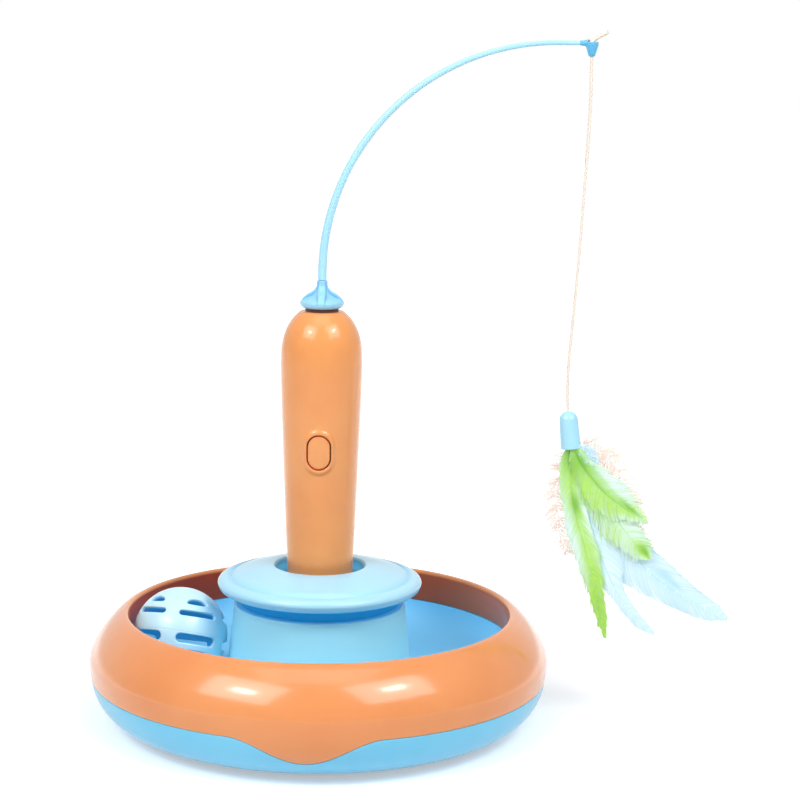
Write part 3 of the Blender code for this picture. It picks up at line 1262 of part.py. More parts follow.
def make_eyelet(parent):
    """A short tapered cup on the rod's end, leaning outwards, bored from top to bottom."""
    centre = (EYELET_X, 0, ROD_TOP_Z)
    half = EYELET_HEIGHT / 2
    neck = EYELET_BORE + BOSS_WALL / 2
    profile = [(neck, -half), (EYELET_RADIUS, half * EYELET_SHOULDER_SHARE), (EYELET_RADIUS, half),
               (EYELET_BORE, half), (EYELET_BORE, -half)]
    cup = moved(turned(profile, full_turn(SMALL_STEPS)), centre)
    body = add("rod_eyelet", *cup, SKY, 0.35, parent=parent)
    stem_path = [(ROD_END_X + CLEARANCE, 0, ROD_TOP_Z), (EYELET_X - EYELET_BORE - CORNER / 2, 0, ROD_TOP_Z)]
    stem = swept(stem_path, [ROD_TIP_RADIUS + CORNER / 3] * 2, TINY_STEPS)
    combine(body, cutter("eyelet_stem", *stem), "UNION")


CORD_PIVOT_Z = CORD_ROUTE[0][1] + CORD_RADIUS + CLEARANCE


def make_knot(parent):
    """The stopper knot on top of the eyelet, its tail, and the cord's stub down the bore."""
    seat_z = ROD_TOP_Z + EYELET_HEIGHT / 2 + CLEARANCE
    middle_z = seat_z + KNOT_RADIUS
    shoulder = KNOT_RADIUS * math.sqrt(0.5)
    profile = [(0, seat_z), (shoulder, seat_z), (KNOT_RADIUS, middle_z),
               (shoulder, middle_z + shoulder), (0, middle_z + KNOT_RADIUS)]
    body = turned(profile, full_turn(SMALL_STEPS), (EYELET_X, 0))
    knot = add("cord_knot", *body, CORD_CREAM, 0.8, parent=parent)
    lean = np.array((math.sin(TAIL_LEAN), 0, math.cos(TAIL_LEAN)))
    start = np.array((EYELET_X, 0, middle_z))
    tail = [start + lean * CORD_RADIUS, start + lean * TAIL_LENGTH / 2, start + lean * TAIL_LENGTH]
    combine(knot, cutter("knot_tail", *swept(tail, [CORD_RADIUS] * 3, TINY_STEPS)), "UNION")
    round_off = CORD_RADIUS * math.sqrt(0.5)
    stub = [(0, CORD_PIVOT_Z - CORD_RADIUS), (round_off, CORD_PIVOT_Z - round_off),
            (CORD_RADIUS, CORD_PIVOT_Z), (CORD_RADIUS, middle_z), (0, middle_z)]
    stub_solid = turned(stub, full_turn(TINY_STEPS), (EYELET_X, 0))
    combine(knot, cutter("knot_stub", *stub_solid), "UNION")


def smooth_route(spacing):
    """Evenly spaced points on a smooth curve through the route."""
    route = np.array(CORD_ROUTE)
    run = np.concatenate([[0], np.cumsum(np.linalg.norm(np.diff(route, axis=0), axis=1))])
    fine = np.linspace(0, run[-1], int(run[-1] / spacing) + 1)
    slope = np.gradient(route, run, axis=0)
    index = np.clip(np.searchsorted(run, fine, side="right") - 1, 0, len(run) - 2)
    width = run[index + 1] - run[index]
    t = ((fine - run[index]) / width)[:, None]
    width = width[:, None]
    start, end = route[index], route[index + 1]
    return (
        (2 * t**3 - 3 * t**2 + 1) * start + (t**3 - 2 * t**2 + t) * width * slope[index]
        + (-2 * t**3 + 3 * t**2) * end + (t**3 - t**2) * width * slope[index + 1]
    )


def make_cord(parent):
    curve = bpy.data.curves.new("lure_cord", "CURVE")
    curve.dimensions = "3D"
    curve.bevel_depth = CORD_RADIUS
    curve.bevel_resolution = 2
    curve.use_fill_caps = True
    spacing = CORD_RADIUS * 8
    route = smooth_route(spacing)
    spline = curve.splines.new("POLY")
    spline.points.add(len(route) - 1)
    for point, (x, z) in zip(spline.points, route):
        point.co = (x, 0, z, 1)
    item = bpy.data.objects.new("lure_cord", curve)
    bpy.context.collection.objects.link(item)
    curve.materials.append(finish_for("lure_cord", CORD_CREAM, 0.85))
    item.parent = parent
    item.matrix_parent_inverse = parent.matrix_world.inverted()


FERRULE_TOP = np.array((CORD_ROUTE[-1][0], 0, CORD_ROUTE[-1][1] - CLEARANCE))
FERRULE_DOWN = np.array((math.sin(FERRULE_LEAN), 0, -math.cos(FERRULE_LEAN)))
FERRULE_PIVOT = FERRULE_TOP + FERRULE_DOWN * FERRULE_RADIUS


def in_ferrule_frame(shape):
    """Turns a shape made with its top at zero and its length down -Z into the leaning ferrule's place."""
    points = np.array(shape[0], float)
    side = np.array((math.cos(FERRULE_LEAN), 0, math.sin(FERRULE_LEAN)))
    turned_points = points[:, :1] * side + points[:, 1:2] * (0, 1, 0) - points[:, 2:3] * FERRULE_DOWN
    return FERRULE_TOP + turned_points, shape[1]


def make_ferrule(parent):
    """A domed cup, open below, that the quills are glued into."""
    dome = arc((0, -FERRULE_RADIUS), (FERRULE_RADIUS, FERRULE_RADIUS), math.pi / 2, 0, 5)
    dome[0] = (0, 0)
    pocket_top = FERRULE_POCKET - FERRULE_LENGTH
    inner = FERRULE_MOUTH_RADIUS - FERRULE_WALL
    profile = dome + [(FERRULE_MOUTH_RADIUS, -FERRULE_LENGTH), (inner, -FERRULE_LENGTH),
                      (inner, pocket_top), (0, pocket_top)]
    cup = in_ferrule_frame(turned(profile, full_turn(SMALL_STEPS)))
    add("lure_ferrule", *cup, SKY, 0.35, parent=parent)


# Each feather's length, belly and half width as shares of LONGEST_FEATHER, its lean from straight
# down in degrees, its layer counted towards the front, and its quill's side.
FEATHER_SHARES = {
    "marabou_fluff_left": (0.38, -0.02, 0.085, -11, -3, -0.2),
    "marabou_fluff_right": (0.52, 0.07, 0.085, 36, -2, 0.8),
    "pale_feather_long": (1.00, -0.05, 0.075, 43, -1, -0.2),
    "pale_feather_short": (0.90, -0.03, 0.055, 25, 0, 0.2),
    "green_feather_small": (0.60, 0.05, 0.070, 36, 1, 1),
    "green_feather_left": (0.82, -0.04, 0.050, 11, 2, -0.8),
    "green_feather_right": (0.47, 0.06, 0.072, 37, 3, 0.2),
}
FEATHER_COLOURS = {
    "marabou_fluff_left": PEACH,
    "marabou_fluff_right": PEACH,
    "pale_feather_long": FROST,
    "pale_feather_short": FROST,
    "green_feather_small": LIME,
    "green_feather_left": LIME,
    "green_feather_right": LIME,
}


def feather_shape(length, belly, half_width, lean, layer, side):
    """A flat blade that leaves the ferrule downwards, widens and tapers to its tip."""
    mouth = FERRULE_TOP + FERRULE_DOWN * FERRULE_LENGTH
    root = mouth - FERRULE_DOWN * QUILL_INSET + (side * QUILL_SPREAD, 0, 0)
    leave = mouth + FERRULE_DOWN * QUILL_INSET + (side * QUILL_SPREAD * 1.5, 0, 0)
    along = np.array((math.sin(lean), 0, -math.cos(lean)))
    across = np.array((math.cos(lean), 0, math.sin(lean)))
    steps = np.linspace(0, 1, 8)
    blade = [leave + along * length * t + across * belly * math.sin(math.pi * t) for t in steps]
    path = [root, (root + leave) / 2] + blade
    swell = np.sin(math.pi * (0.08 + 0.84 * steps)) ** 0.7
    widths = [QUILL_HALF_WIDTH] * 2 + list(QUILL_HALF_WIDTH + (half_width - QUILL_HALF_WIDTH) * swell)
    widths[-1] = QUILL_HALF_WIDTH / 2
    points, faces = swept(path, widths, 4)
    half_thick = np.minimum(np.repeat(widths, 4), FEATHER_THICK / 2)
    points = np.array(points)
    points[:, 1] = np.clip(points[:, 1], -half_thick, half_thick) - layer * (FEATHER_THICK + FEATHER_GAP)
    return points, faces


def make_feathers(parent):
    for name, (length, belly, width, lean, layer, side) in FEATHER_SHARES.items():
        sizes = (share * LONGEST_FEATHER for share in (length, belly, width))
        shape = feather_shape(*sizes, math.radians(lean), layer, side)
        add(name, *shape, FEATHER_COLOURS[name], 0.8, parent=parent)


def main():
    clear_scene()
    joints = {
        "ball": joint_at("ball_roll_axis", (0, 0, 0)),
        "rotor": joint_at("rotor_axis", (0, 0, HUB_FOOT_Z)),
        "pinion": joint_at("pinion_axis", (0, 0, GEAR_LEVELS[0])),
        "first": joint_at("first_cluster_axis", (*LAYSHAFT, GEAR_LEVELS[0])),
        "second": joint_at("second_cluster_axis", (0, 0, GEAR_LEVELS[1])),
        "third": joint_at("third_cluster_axis", (*LAYSHAFT, GEAR_LEVELS[2])),
        "button": joint_at("button_axis", (0, PLUNGER_TIP_Y, BUTTON_Z), (0, 1, 0)),
        "battery_cap": joint_at("battery_cap_axis", (0, 0, BATTERY_CAP_FOOT_Z)),
        "cord": joint_at("cord_swing_axis", (EYELET_X, 0, CORD_PIVOT_Z), (0, 1, 0)),
        "lure": joint_at("lure_tilt_axis", tuple(FERRULE_PIVOT), (1, 0, 0)),
    }
    make_base_shell()
    make_feet()
    make_base_screws()
    make_rim_ring()
    make_track_tray()
    make_socket_cap()
    make_cap_screws()
    make_ball(joints["ball"])
    make_handle_shells()
    make_handle_screws()
    make_button(joints["button"])
    make_circuit()
    make_batteries()
    make_battery_cap(joints["battery_cap"])
    make_gearbox()
    make_gear_train(joints)
    make_output(joints["rotor"])
    make_hub(joints["rotor"])
    make_rod(joints["rotor"])
    make_eyelet(joints["rotor"])
    make_knot(joints["rotor"])
    make_cord(joints["cord"])
    make_ferrule(joints["lure"])
    make_feathers(joints["lure"])


main()
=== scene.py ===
import json
import math

import bmesh
import bpy
import numpy as np
from mathutils import Matrix


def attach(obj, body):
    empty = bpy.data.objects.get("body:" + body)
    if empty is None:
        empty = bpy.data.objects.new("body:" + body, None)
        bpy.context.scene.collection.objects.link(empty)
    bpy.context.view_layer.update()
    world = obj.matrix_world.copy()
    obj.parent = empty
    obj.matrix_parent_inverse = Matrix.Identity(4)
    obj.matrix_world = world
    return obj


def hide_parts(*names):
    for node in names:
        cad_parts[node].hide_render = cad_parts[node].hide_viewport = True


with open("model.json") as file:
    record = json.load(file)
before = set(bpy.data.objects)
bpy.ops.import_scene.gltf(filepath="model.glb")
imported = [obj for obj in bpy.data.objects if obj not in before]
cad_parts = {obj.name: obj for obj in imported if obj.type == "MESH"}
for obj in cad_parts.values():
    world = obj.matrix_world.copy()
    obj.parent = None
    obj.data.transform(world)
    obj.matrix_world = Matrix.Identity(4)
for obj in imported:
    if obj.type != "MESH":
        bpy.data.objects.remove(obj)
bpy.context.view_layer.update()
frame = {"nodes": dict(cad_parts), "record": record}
scene = bpy.context.scene
scene.view_settings.view_transform = "Standard"
print("frame loaded,", len(frame["nodes"]), "nodes")


# Camera: stands at the photograph's place and looks along the cross of its up and right

cameraSet = {
    "place": (0.055837, -0.998725, 0.322753),
    "right": (0.99964466, 0.02261809, 0.01410571),
    "up": (-0.01776927, 0.17097909, 0.98511441),
    "lens": 100.705, "film": 36.0,
}


def stand(name, data, right, up, place):
    # A new object at the place, whose axes are right, up and the cross of the two
    axes = np.column_stack([right, up, np.cross(right, up), place])
    item = bpy.data.objects.new(name, data)
    item.matrix_world = Matrix(np.vstack([axes, (0, 0, 0, 1)]).tolist())
    scene.collection.objects.link(item)
    return item


def addCamera(place, right, up, lens, film):
    # The focal length and the film's width set the angle: 2 atan(film / (2 lens))
    camera = bpy.data.cameras.new("photoCamera")
    camera.lens, camera.sensor_width = lens, film
    scene.camera = stand("photoCamera", camera, right, up, place)


addCamera(**cameraSet)


# Shape tools. Lengths in them are millimetres; makeMesh turns them into metres.

def joined(*parts):
    # Coordinates side by side, as points
    return np.stack(np.broadcast_arrays(*parts), -1)


def ramp(values, none, full):
    # 0 at none, 1 at full, and straight in between
    return np.clip((values - none) / (full - none), 0, 1)


def fullTurn(steps):
    # Even angles all the way round
    return np.arange(steps) * 2 * math.pi / steps


def unit(vectors):
    # Each vector over its own length
    return vectors / np.maximum(np.linalg.norm(vectors, axis=-1, keepdims=True), 1e-12)


def runAlong(line):
    # The line's length from its start to each of its points
    return np.concatenate([[0], np.cumsum(np.linalg.norm(np.diff(line, axis=0), axis=1))])


def closedUp(rows):
    # The same rows with the first one again at the end
    return np.concatenate([rows, rows[:1]])


def arc(centre, radii, start, end, steps, power=2.0):
    # A stretch of a superellipse in degrees: centre + radii * (|cos|^(2/p), |sin|^(2/p)) with their signs
    angle = np.radians(np.linspace(start, end, steps))
    across, up = (np.sign(part) * np.abs(part) ** (2 / power) for part in (np.cos(angle), np.sin(angle)))
    return joined(centre[0] + radii[0] * across, centre[1] + radii[1] * up)


def smoothLine(points, count):
    # A cubic through the points by run length, with slopes from their neighbours, at even steps
    points = np.asarray(points, float)
    run = runAlong(points)
    slope = np.gradient(points, run, axis=0)
    fine = np.linspace(0, run[-1], count)
    left = np.clip(np.searchsorted(run, fine, side="right") - 1, 0, len(run) - 2)
    width = (run[left + 1] - run[left])[:, None]
    t = (fine - run[left])[:, None] / width
    return (
        (2 * t**3 - 3 * t**2 + 1) * points[left] + (t**3 - 2 * t**2 + t) * width * slope[left]
        + (3 * t**2 - 2 * t**3) * points[left + 1] + (t**3 - t**2) * width * slope[left + 1]
    )


def evenly(line, marks, counts):
    # Points at even steps of run length on each stretch of the line between two marks
    run = runAlong(line)
    stretches = zip(marks[:-1], marks[1:], counts)
    at = np.concatenate([np.linspace(run[a], run[b], n, endpoint=False) for a, b, n in stretches])
    return joined(np.interp(at, run, line[:, 0]), np.interp(at, run, line[:, 1]))


def softened(corners, cuts, steps):
    # A closed outline whose corners are cut back by their own lengths and bent round by a parabola
    corners = np.asarray(corners, float)
    back, ahead = np.roll(corners, 1, 0) - corners, np.roll(corners, -1, 0) - corners
    reach = np.asarray(cuts, float)[:, None]
    start, end = (corners + unit(side) * np.minimum(reach, 0.48 * np.linalg.norm(side, axis=1)[:, None])
                  for side in (back, ahead))
    t = np.linspace(0, 1, steps)[:, None, None]
    bent = (1 - t) ** 2 * start + 2 * t * (1 - t) * corners + t**2 * end
    return bent.transpose(1, 0, 2).reshape(-1, 2)


def drum(radius, low, high):
    # The half outline of a plain disc, as (radius, height) corners
    return [(0, low), (radius, low), (radius, high), (0, high)]


def level(points, columns):
    # Fixed profile points, the same for every angle
    points = np.asarray(points, float)
    return np.broadcast_to(points[:, None], (len(points), columns, 2))


def turned(profile, angles, centre=(0, 0)):
    # Each (radius, height) of the profile goes round an upright axis: x = r cos a, y = r sin a.
    # The profile may have a column of points for every angle.
    radius, height = profile[..., 0], profile[..., 1]
    if profile.ndim == 2:
        radius, height = radius[:, None], height[:, None]
    return joined(centre[0] + radius * np.cos(angles), centre[1] + radius * np.sin(angles), height)


def lathed(outline, steps, centre=(0, 0)):
    # A closed outline turned all the way round
    return turned(closedUp(np.asarray(outline, float)), fullTurn(steps), centre)


def tubeAlong(path, radii, steps, side=(0.0, 1.0, 0.0)):
    # A round section carried along the path on two axes square to it, and closed to a point at both ends.
    # Each station has one radius, or one for each step round.
    tangent = unit(np.gradient(path, axis=0))
    up = unit(np.cross(tangent, side))
    side = np.cross(up, tangent)
    angle = fullTurn(steps)[:, None]
    ring = np.cos(angle) * side[:, None] + np.sin(angle) * up[:, None]
    grid = path[:, None] + radii.reshape(len(path), -1, 1) * ring
    first, last = (np.broadcast_to(path[k], grid[:1].shape) for k in (0, -1))
    return np.concatenate([first, grid, last])


def plyTube(path, radius, steps, depth, side=(0.0, 1.0, 0.0), plies=3, pitch=3.4):
    # Plies wound round the path: the radius swells and dips by |cos| round the section, turning as it runs.
    # The mark with it is 1 on the crown of a ply and 0 between two.
    twist = 2 * math.pi / pitch / plies * 1.5
    lobe = np.abs(np.cos(plies / 2 * (fullTurn(steps) - twist * runAlong(path)[:, None])))
    grid = tubeAlong(path, radius * (1 - depth + depth * lobe), steps, side)
    return sheet(grid), (np.concatenate([lobe[:1], lobe, lobe[-1:]]) ** 0.7).ravel()


def sheet(grid, wrap=True):
    # The grid's points, and quads between neighbouring rows and columns.
    # With wrap, the last column is joined to the first.
    rows, columns = grid.shape[:2]
    down, across = np.meshgrid(np.arange(rows - 1), np.arange(columns - (not wrap)), indexing="ij")
    beside = (across + 1) % columns
    corners = [down * columns + across, down * columns + beside]
    corners += [(down + 1) * columns + beside, (down + 1) * columns + across]
    return grid.reshape(-1, 3), joined(*corners).reshape(-1, 4)


def strands(lines, widths, thick):
    # Thin four-sided strands: the centrelines (strand, station, 3) widened by widths as seen from the
    # front, and by thick from front to back. Both ends are closed.
    tangent = unit(np.gradient(lines, axis=1))
    across = unit(np.cross(tangent, (0.0, 1.0, 0.0)))
    normal = unit(np.cross(across, tangent))
    half = np.asarray(widths)[:, None]
    deep = np.minimum(half, thick / 2)
    wide, high = across * half, normal * deep
    points = np.stack([lines + wide, lines + high, lines - wide, lines - high], 2)
    count, stations = lines.shape[:2]
    base = (np.arange(count) * stations * 4)[:, None, None]
    near = base + (np.arange(stations - 1) * 4)[None, :, None]
    corner = np.arange(4)
    after = (corner + 1) % 4
    sides = joined(near + corner, near + after, near + 4 + after, near + 4 + corner).reshape(-1, 4)
    starts, ends = base[:, 0] + corner[::-1], base[:, 0] + (stations - 1) * 4 + corner
    return points.reshape(-1, 3), np.concatenate([sides, starts, ends])


def smooth(mesh, sharp=38):
    # Smooth faces, apart from edges where two faces turn by more than sharp degrees
    mesh.polygons.foreach_set("use_smooth", np.ones(len(mesh.polygons), bool))
    mesh.set_sharp_from_angle(angle=math.radians(sharp))


def makeMesh(name, patches, marks=None, sharp=38, merge=True):
    # One mesh of all the patches, each its points and quads. Marks are numbers for the points, or one for all.
    starts = np.cumsum([0] + [len(points) for points, _ in patches])
    points = np.concatenate([points for points, _ in patches])
    faces = np.concatenate([quads + start for (_, quads), start in zip(patches, starts)])
    mesh = bpy.data.meshes.new(name)
    mesh.vertices.add(len(points))
    mesh.vertices.foreach_set("co", (points * 0.001).astype(np.float32).ravel())
    mesh.loops.add(faces.size)
    mesh.loops.foreach_set("vertex_index", faces.astype(np.int32).ravel())
    mesh.polygons.add(len(faces))
    mesh.polygons.foreach_set("loop_start", np.arange(len(faces), dtype=np.int32) * 4)
    mesh.update(calc_edges=True)
    for key, values in (marks or {}).items():
        layer = mesh.attributes.new(key, "FLOAT", "POINT")
        layer.data.foreach_set("value", np.broadcast_to(np.ravel(values), len(points)).astype(np.float32))
    if merge:
        work = bmesh.new()
        work.from_mesh(mesh)
        bmesh.ops.remove_doubles(work, verts=work.verts, dist=2e-6)
        bmesh.ops.recalc_face_normals(work, faces=work.faces)
        work.to_mesh(mesh)
        work.free()
    smooth(mesh, sharp)
    item = bpy.data.objects.new(name, mesh)
    scene.collection.objects.link(item)
    return item


def carve(item, patches, operation):
    # Cuts the closed patches from the piece, or joins them on, and keeps the result as the piece's mesh
    tool = makeMesh("tool", patches)
    step = item.modifiers.new("carve", "BOOLEAN")
    step.operation, step.solver, step.object = operation, "EXACT", tool
    shaped = item.evaluated_get(bpy.context.evaluated_depsgraph_get())
    mesh = bpy.data.meshes.new_from_object(shaped)
    item.modifiers.clear()
    item.data = mesh
    bpy.data.objects.remove(tool)
    smooth(mesh)


def settle(item, body, node, slotName, finish=None):
    # The piece rides on its body, stands for its node if it has one, and wears the finish or its slot's own
    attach(item, body)
    if node:
        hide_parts(node)
    item.data.materials.append(finishes[finish or slotName])


# Finishes

class Socket:
    # One output of a finish's nodes, with the arithmetic that shader maths needs
    def __init__(self, finish, output):
        self.finish, self.output = finish, output

    def maths(self, operation, *values):
        return self.finish.node("ShaderNodeMath", {"operation": operation}, dict(enumerate(values)))

    def __add__(self, other):
        return self.maths("ADD", self, other)

    def __rsub__(self, other):
        return self.maths("SUBTRACT", other, self)

    def __mul__(self, other):
        return self.maths("MULTIPLY", self, other)

    __radd__, __rmul__ = __add__, __mul__


class Finish:
    # The nodes of a material, or of the world, that feed its one shader
    def __init__(self, owner, shader="Principled BSDF"):
        owner.use_nodes = True
        self.owner, self.tree = owner, owner.node_tree
        self.shader = self.tree.nodes[shader]

    def put(self, entry, value):
        # Links a socket's output to the entry, or sets the entry's own value
        if isinstance(value, Socket):
            self.tree.links.new(value.output, entry)
        elif isinstance(value, tuple) and len(value) == 3 and len(entry.default_value) == 4:
            entry.default_value = (*value, 1)
        else:
            entry.default_value = value

    def node(self, kind, settings, values, output=0):
        # A new node with its settings and what goes into it, and one of its outputs
        made = self.tree.nodes.new(kind)
        for key, value in settings.items():
            setattr(made, key, value)
        for key, value in values.items():
            self.put(made.inputs[key], value)
        return Socket(self, made.outputs[output])

    def place(self, scales=None):
        # Object coordinates, stretched by the scales
        at = self.node("ShaderNodeTexCoord", {}, {}, "Object")
        return self.node("ShaderNodeMapping", {}, {"Vector": at, "Scale": scales}) if scales else at

    def mark(self, name):
        # A number that the mesh holds for each of its points
        return self.node("ShaderNodeAttribute", {"attribute_name": name}, {}, "Fac")

    def noise(self, scale, detail, scales=None):
        values = {"Vector": self.place(scales), "Scale": scale, "Detail": detail}
        return self.node("ShaderNodeTexNoise", {}, values)

    def blend(self, factor, first, second):
        # (1 - factor) * first + factor * second, as a colour
        return self.node("ShaderNodeMix", {"data_type": "RGBA"}, {0: factor, 6: first, 7: second}, 2)

    def ranged(self, value, low, high, start=0.0, end=1.0):
        # The value's stretch from low to high becomes start to end
        return self.node("ShaderNodeMapRange", {}, {0: value, 1: low, 2: high, 3: start, 4: end})

    def bump(self, height, distance, strength):
        return self.node("ShaderNodeBump", {}, {"Height": height, "Distance": distance, "Strength": strength})

    def seen(self):
        # 1 where the camera, gloss or glass looks at it, and 0 for the light that it sheds
        rays = ("Is Camera Ray", "Is Glossy Ray", "Is Transmission Ray")
        camera, gloss, glass = (self.node("ShaderNodeLightPath", {}, {}, ray) for ray in rays)
        return camera.maths("MAXIMUM", camera.maths("MAXIMUM", camera, gloss), glass)

    def wear(self, **values):
        # The shader's own sockets, by names with spaces left out
        entries = {entry.name.replace(" ", ""): entry for entry in self.shader.inputs}
        for key, value in values.items():
            self.put(entries[key], value)
        return self.owner


# Colours: the plain one, its second tone, the painted shade for faces in the part's own shadow, and a painted glow
# that lifts that shade.
# Numbers: roughness, coat, index of refraction, depth of the skin
plasticSet = {
    "orange_plastic": [(0.86, 0.310, 0.096), (0.79, 0.255, 0.068), (0.50, 0.062, 0.018), (0.02, 0.0, 0.0),
                       0.21, 0.55, 1.40, 0.5],
    "grip_plastic": [(0.90, 0.365, 0.110), (0.82, 0.280, 0.070), (0.42, 0.070, 0.040), (0.19, 0.030, 0.022),
                     0.25, 0.5, 1.30, 0.8],
    "sky_plastic": [(0.200, 0.640, 0.890), (0.150, 0.580, 0.850), (0.040, 0.300, 0.640), (0.0, 0.0, 0.0),
                    0.30, 0.25, 1.40, 0.2],
    # The tray's plastic is the base's sky blue made much paler: painted light for the tray, which lies in the ring's
    # shade.
    "track_painted_lit_plastic": [(0.465, 0.900, 0.990), (0.405, 0.860, 0.980), (0.015, 0.330, 0.860), (0.0, 0.16, 0.34),
                      0.36, 0.0, 1.35, 0.3],
    "pale_sky_plastic": [(0.450, 0.775, 0.935), (0.380, 0.730, 0.915), (0.020, 0.400, 0.820),
                         (0.003, 0.075, 0.12), 0.30, 0.3, 1.45, 0.4],
    "hub_plastic": [(0.335, 0.665, 0.890), (0.285, 0.620, 0.865), (0.050, 0.330, 0.700), (0.0, 0.0, 0.0),
                    0.30, 0.25, 1.40, 0.4],
    "ball_plastic": [(0.640, 0.890, 0.970), (0.560, 0.850, 0.960), (0.110, 0.500, 0.820), (0.006, 0.060, 0.09),
                     0.32, 0.3, 1.45, 0.4],
    "seal_rubber": [(0.150, 0.075, 0.085), (0.110, 0.050, 0.060), (0.040, 0.020, 0.020), (0.0, 0.0, 0.0),
                    0.55, 0.0, 1.40, 1.0],
}


def mouldedPlastic(finish, colour, second, paintedShade, glow, rough, coat, ior, skinDepth):
    # Clouds of colour as the melt flowed, a fine orange-peel skin, and faint rubbed patches in the gloss.
    # The point mark read here is painted shade: it blends in the dark shade colour, takes the gloss off, and adds the
    # painted glow where the part lies in its own shadow.
    depth = finish.mark("inside")
    outside = finish.blend(finish.ranged(finish.noise(22, 3), 0.3, 0.75), colour, second)
    skin = finish.noise(520, 2)
    rubbed = finish.ranged(finish.noise(60, 4, (1, 1, 3.5)), 0.45, 0.75)
    return finish.wear(
        BaseColor=finish.blend(depth, outside, paintedShade),
        Roughness=rubbed * 0.03 + skin * 0.04 + depth * 0.3 + (rough - 0.03),
        CoatWeight=(1 - depth) * coat, CoatRoughness=0.12, IOR=ior,
        EmissionColor=finish.blend(depth, (0, 0, 0), glow), EmissionStrength=1.0,
        Normal=finish.bump(skin, 0.00002, skinDepth),
    )


def plainPlastic(finish, colour, rough):
    # A fine grain, and a darker shade in soft patches
    grain = finish.noise(900, 3)
    shade = finish.ranged(finish.noise(70, 3), 0.3, 0.7)
    return finish.wear(
        BaseColor=finish.blend(shade, colour, tuple(0.8 * part for part in colour)),
        Roughness=grain * 0.15 + (rough - 0.07), Normal=finish.bump(grain, 0.00004, 0.5),
    )


def turnedMetal(finish, colour, rough):
    # Fine streaks square to the axis, and dull spots
    streak = finish.noise(300, 3, (1, 1, 18))
    dull = finish.ranged(finish.noise(240, 3), 0.45, 0.7)
    return finish.wear(
        BaseColor=finish.blend(dull * 0.6, colour, tuple(0.7 * part for part in colour)), Metallic=1.0,
        Roughness=streak * 0.2 + dull * 0.12 + (rough - 0.08), Normal=finish.bump(streak, 0.00002, 0.4),
    )


def circuitLaminate(finish, colour, lineColour):
    # Green laminate with copper lines that show through as a lighter green
    bands = {"wave_type": "BANDS", "bands_direction": "Z"}
    values = {"Vector": finish.place(), "Scale": 160, "Distortion": 3}
    line = finish.ranged(finish.node("ShaderNodeTexWave", bands, values), 0.80, 0.90)
    return finish.wear(BaseColor=finish.blend(line, colour, lineColour), Roughness=0.4 - line * 0.1,
                       Normal=finish.bump(line, 0.00003, 0.6))


def cottonCord(finish, plyShade, first, second):
    # Fibres that follow the twist; painted shade darkens the colour between the plies, and the crowns keep the pale
    # colour
    crown = finish.mark("crown")
    fibre = finish.noise(1600, 4, (1, 1, 0.35))
    pale = finish.blend(finish.noise(45, 2), first, second)
    return finish.wear(BaseColor=finish.blend(crown, plyShade, pale), Roughness=0.85, SheenWeight=0.4,
                       Normal=finish.bump(fibre + crown, 0.00010, 0.6))


def plumage(finish, pale, shade, dyed, bright, dark, glow, alpha):
    # tint runs from the pale web to the dyed one, deep darkens it, and strand varies it barb by barb
    tint, deep, strand = finish.mark("tint"), finish.mark("deep"), finish.mark("strand")
    mottle = finish.noise(420, 3)
    web = finish.blend(finish.ranged(strand + mottle * 0.5, 0.2, 1.2), pale, shade)
    dye = finish.blend(finish.ranged(strand * 0.6 + mottle * 0.6, 0.25, 0.9), dyed, bright)
    mixed = finish.blend(finish.ranged(tint + strand * 0.5, 0.25, 1.25), web, dye)
    # Emission with the glow colour is painted light, which lifts the barbs where they lie in shade
    return finish.wear(
        BaseColor=finish.blend(deep, mixed, dark), Roughness=0.70, SheenWeight=0.3, Alpha=alpha,
        EmissionColor=glow, EmissionStrength=1.0, Normal=finish.bump(finish.noise(1500, 2), 0.00003, 0.5),
    )


finishSet = {
    "green_feather": (plumage, (0.84, 0.965, 0.97), (0.70, 0.91, 0.80), (0.30, 0.66, 0.035),
                      (0.50, 0.82, 0.12), (0.13, 0.42, 0.015), (0.025, 0.045, 0.012), 1.0),
    "pale_feather": (plumage, (0.84, 0.96, 0.99), (0.64, 0.88, 0.97), (0.48, 0.78, 0.93),
                     (0.68, 0.90, 0.97), (0.30, 0.62, 0.76), (0.01, 0.03, 0.04), 1.0),
    "peach_fluff": (plumage, (1.0, 0.91, 0.84), (1.0, 0.85, 0.76), (1.0, 0.83, 0.73),
                    (1.0, 0.89, 0.80), (0.96, 0.72, 0.60), (0.12, 0.085, 0.07), 0.42),
    "cord_cotton": (cottonCord, (0.84, 0.68, 0.52), (0.92, 0.79, 0.67), (0.95, 0.85, 0.75)),
    "natural_plastic": (plainPlastic, (0.86, 0.84, 0.78), 0.45),
    "black_plastic": (plainPlastic, (0.025, 0.026, 0.030), 0.45),
    "foot_rubber": (plainPlastic, (0.06, 0.065, 0.07), 0.85),
    "cell_jacket": (plainPlastic, (0.20, 0.22, 0.26), 0.35),
    "screw_steel": (turnedMetal, (0.40, 0.41, 0.43), 0.42),
    "contact_brass": (turnedMetal, (0.78, 0.60, 0.30), 0.28),
    "board_laminate": (circuitLaminate, (0.03, 0.24, 0.10), (0.10, 0.42, 0.17)),
}
finishSet |= {name: (mouldedPlastic, *given) for name, given in plasticSet.items()}
finishes = {name: make(Finish(bpy.data.materials.new(name)), *given)
            for name, (make, *given) in finishSet.items()}
for part in frame["record"]["subparts"]:
    for slot in frame["nodes"][part["node"]].material_slots:
        slot.material = finishes[part["material_slot"]]
print("finishes made,", len(finishes))


# Cord: three plies wound round a smooth line through the route's points

cordSet = {
    "route": [
        (0.1180, 0.3020), (0.1181, 0.2904), (0.1176, 0.2693), (0.1169, 0.2551), (0.1155, 0.2266),
        (0.1142, 0.2051), (0.1127, 0.1833), (0.1115, 0.1650), (0.1114, 0.1541), (0.1118, 0.1456),
    ],
    "radius": 0.72, "depth": 0.10, "stations": 900, "steps": 18,
}


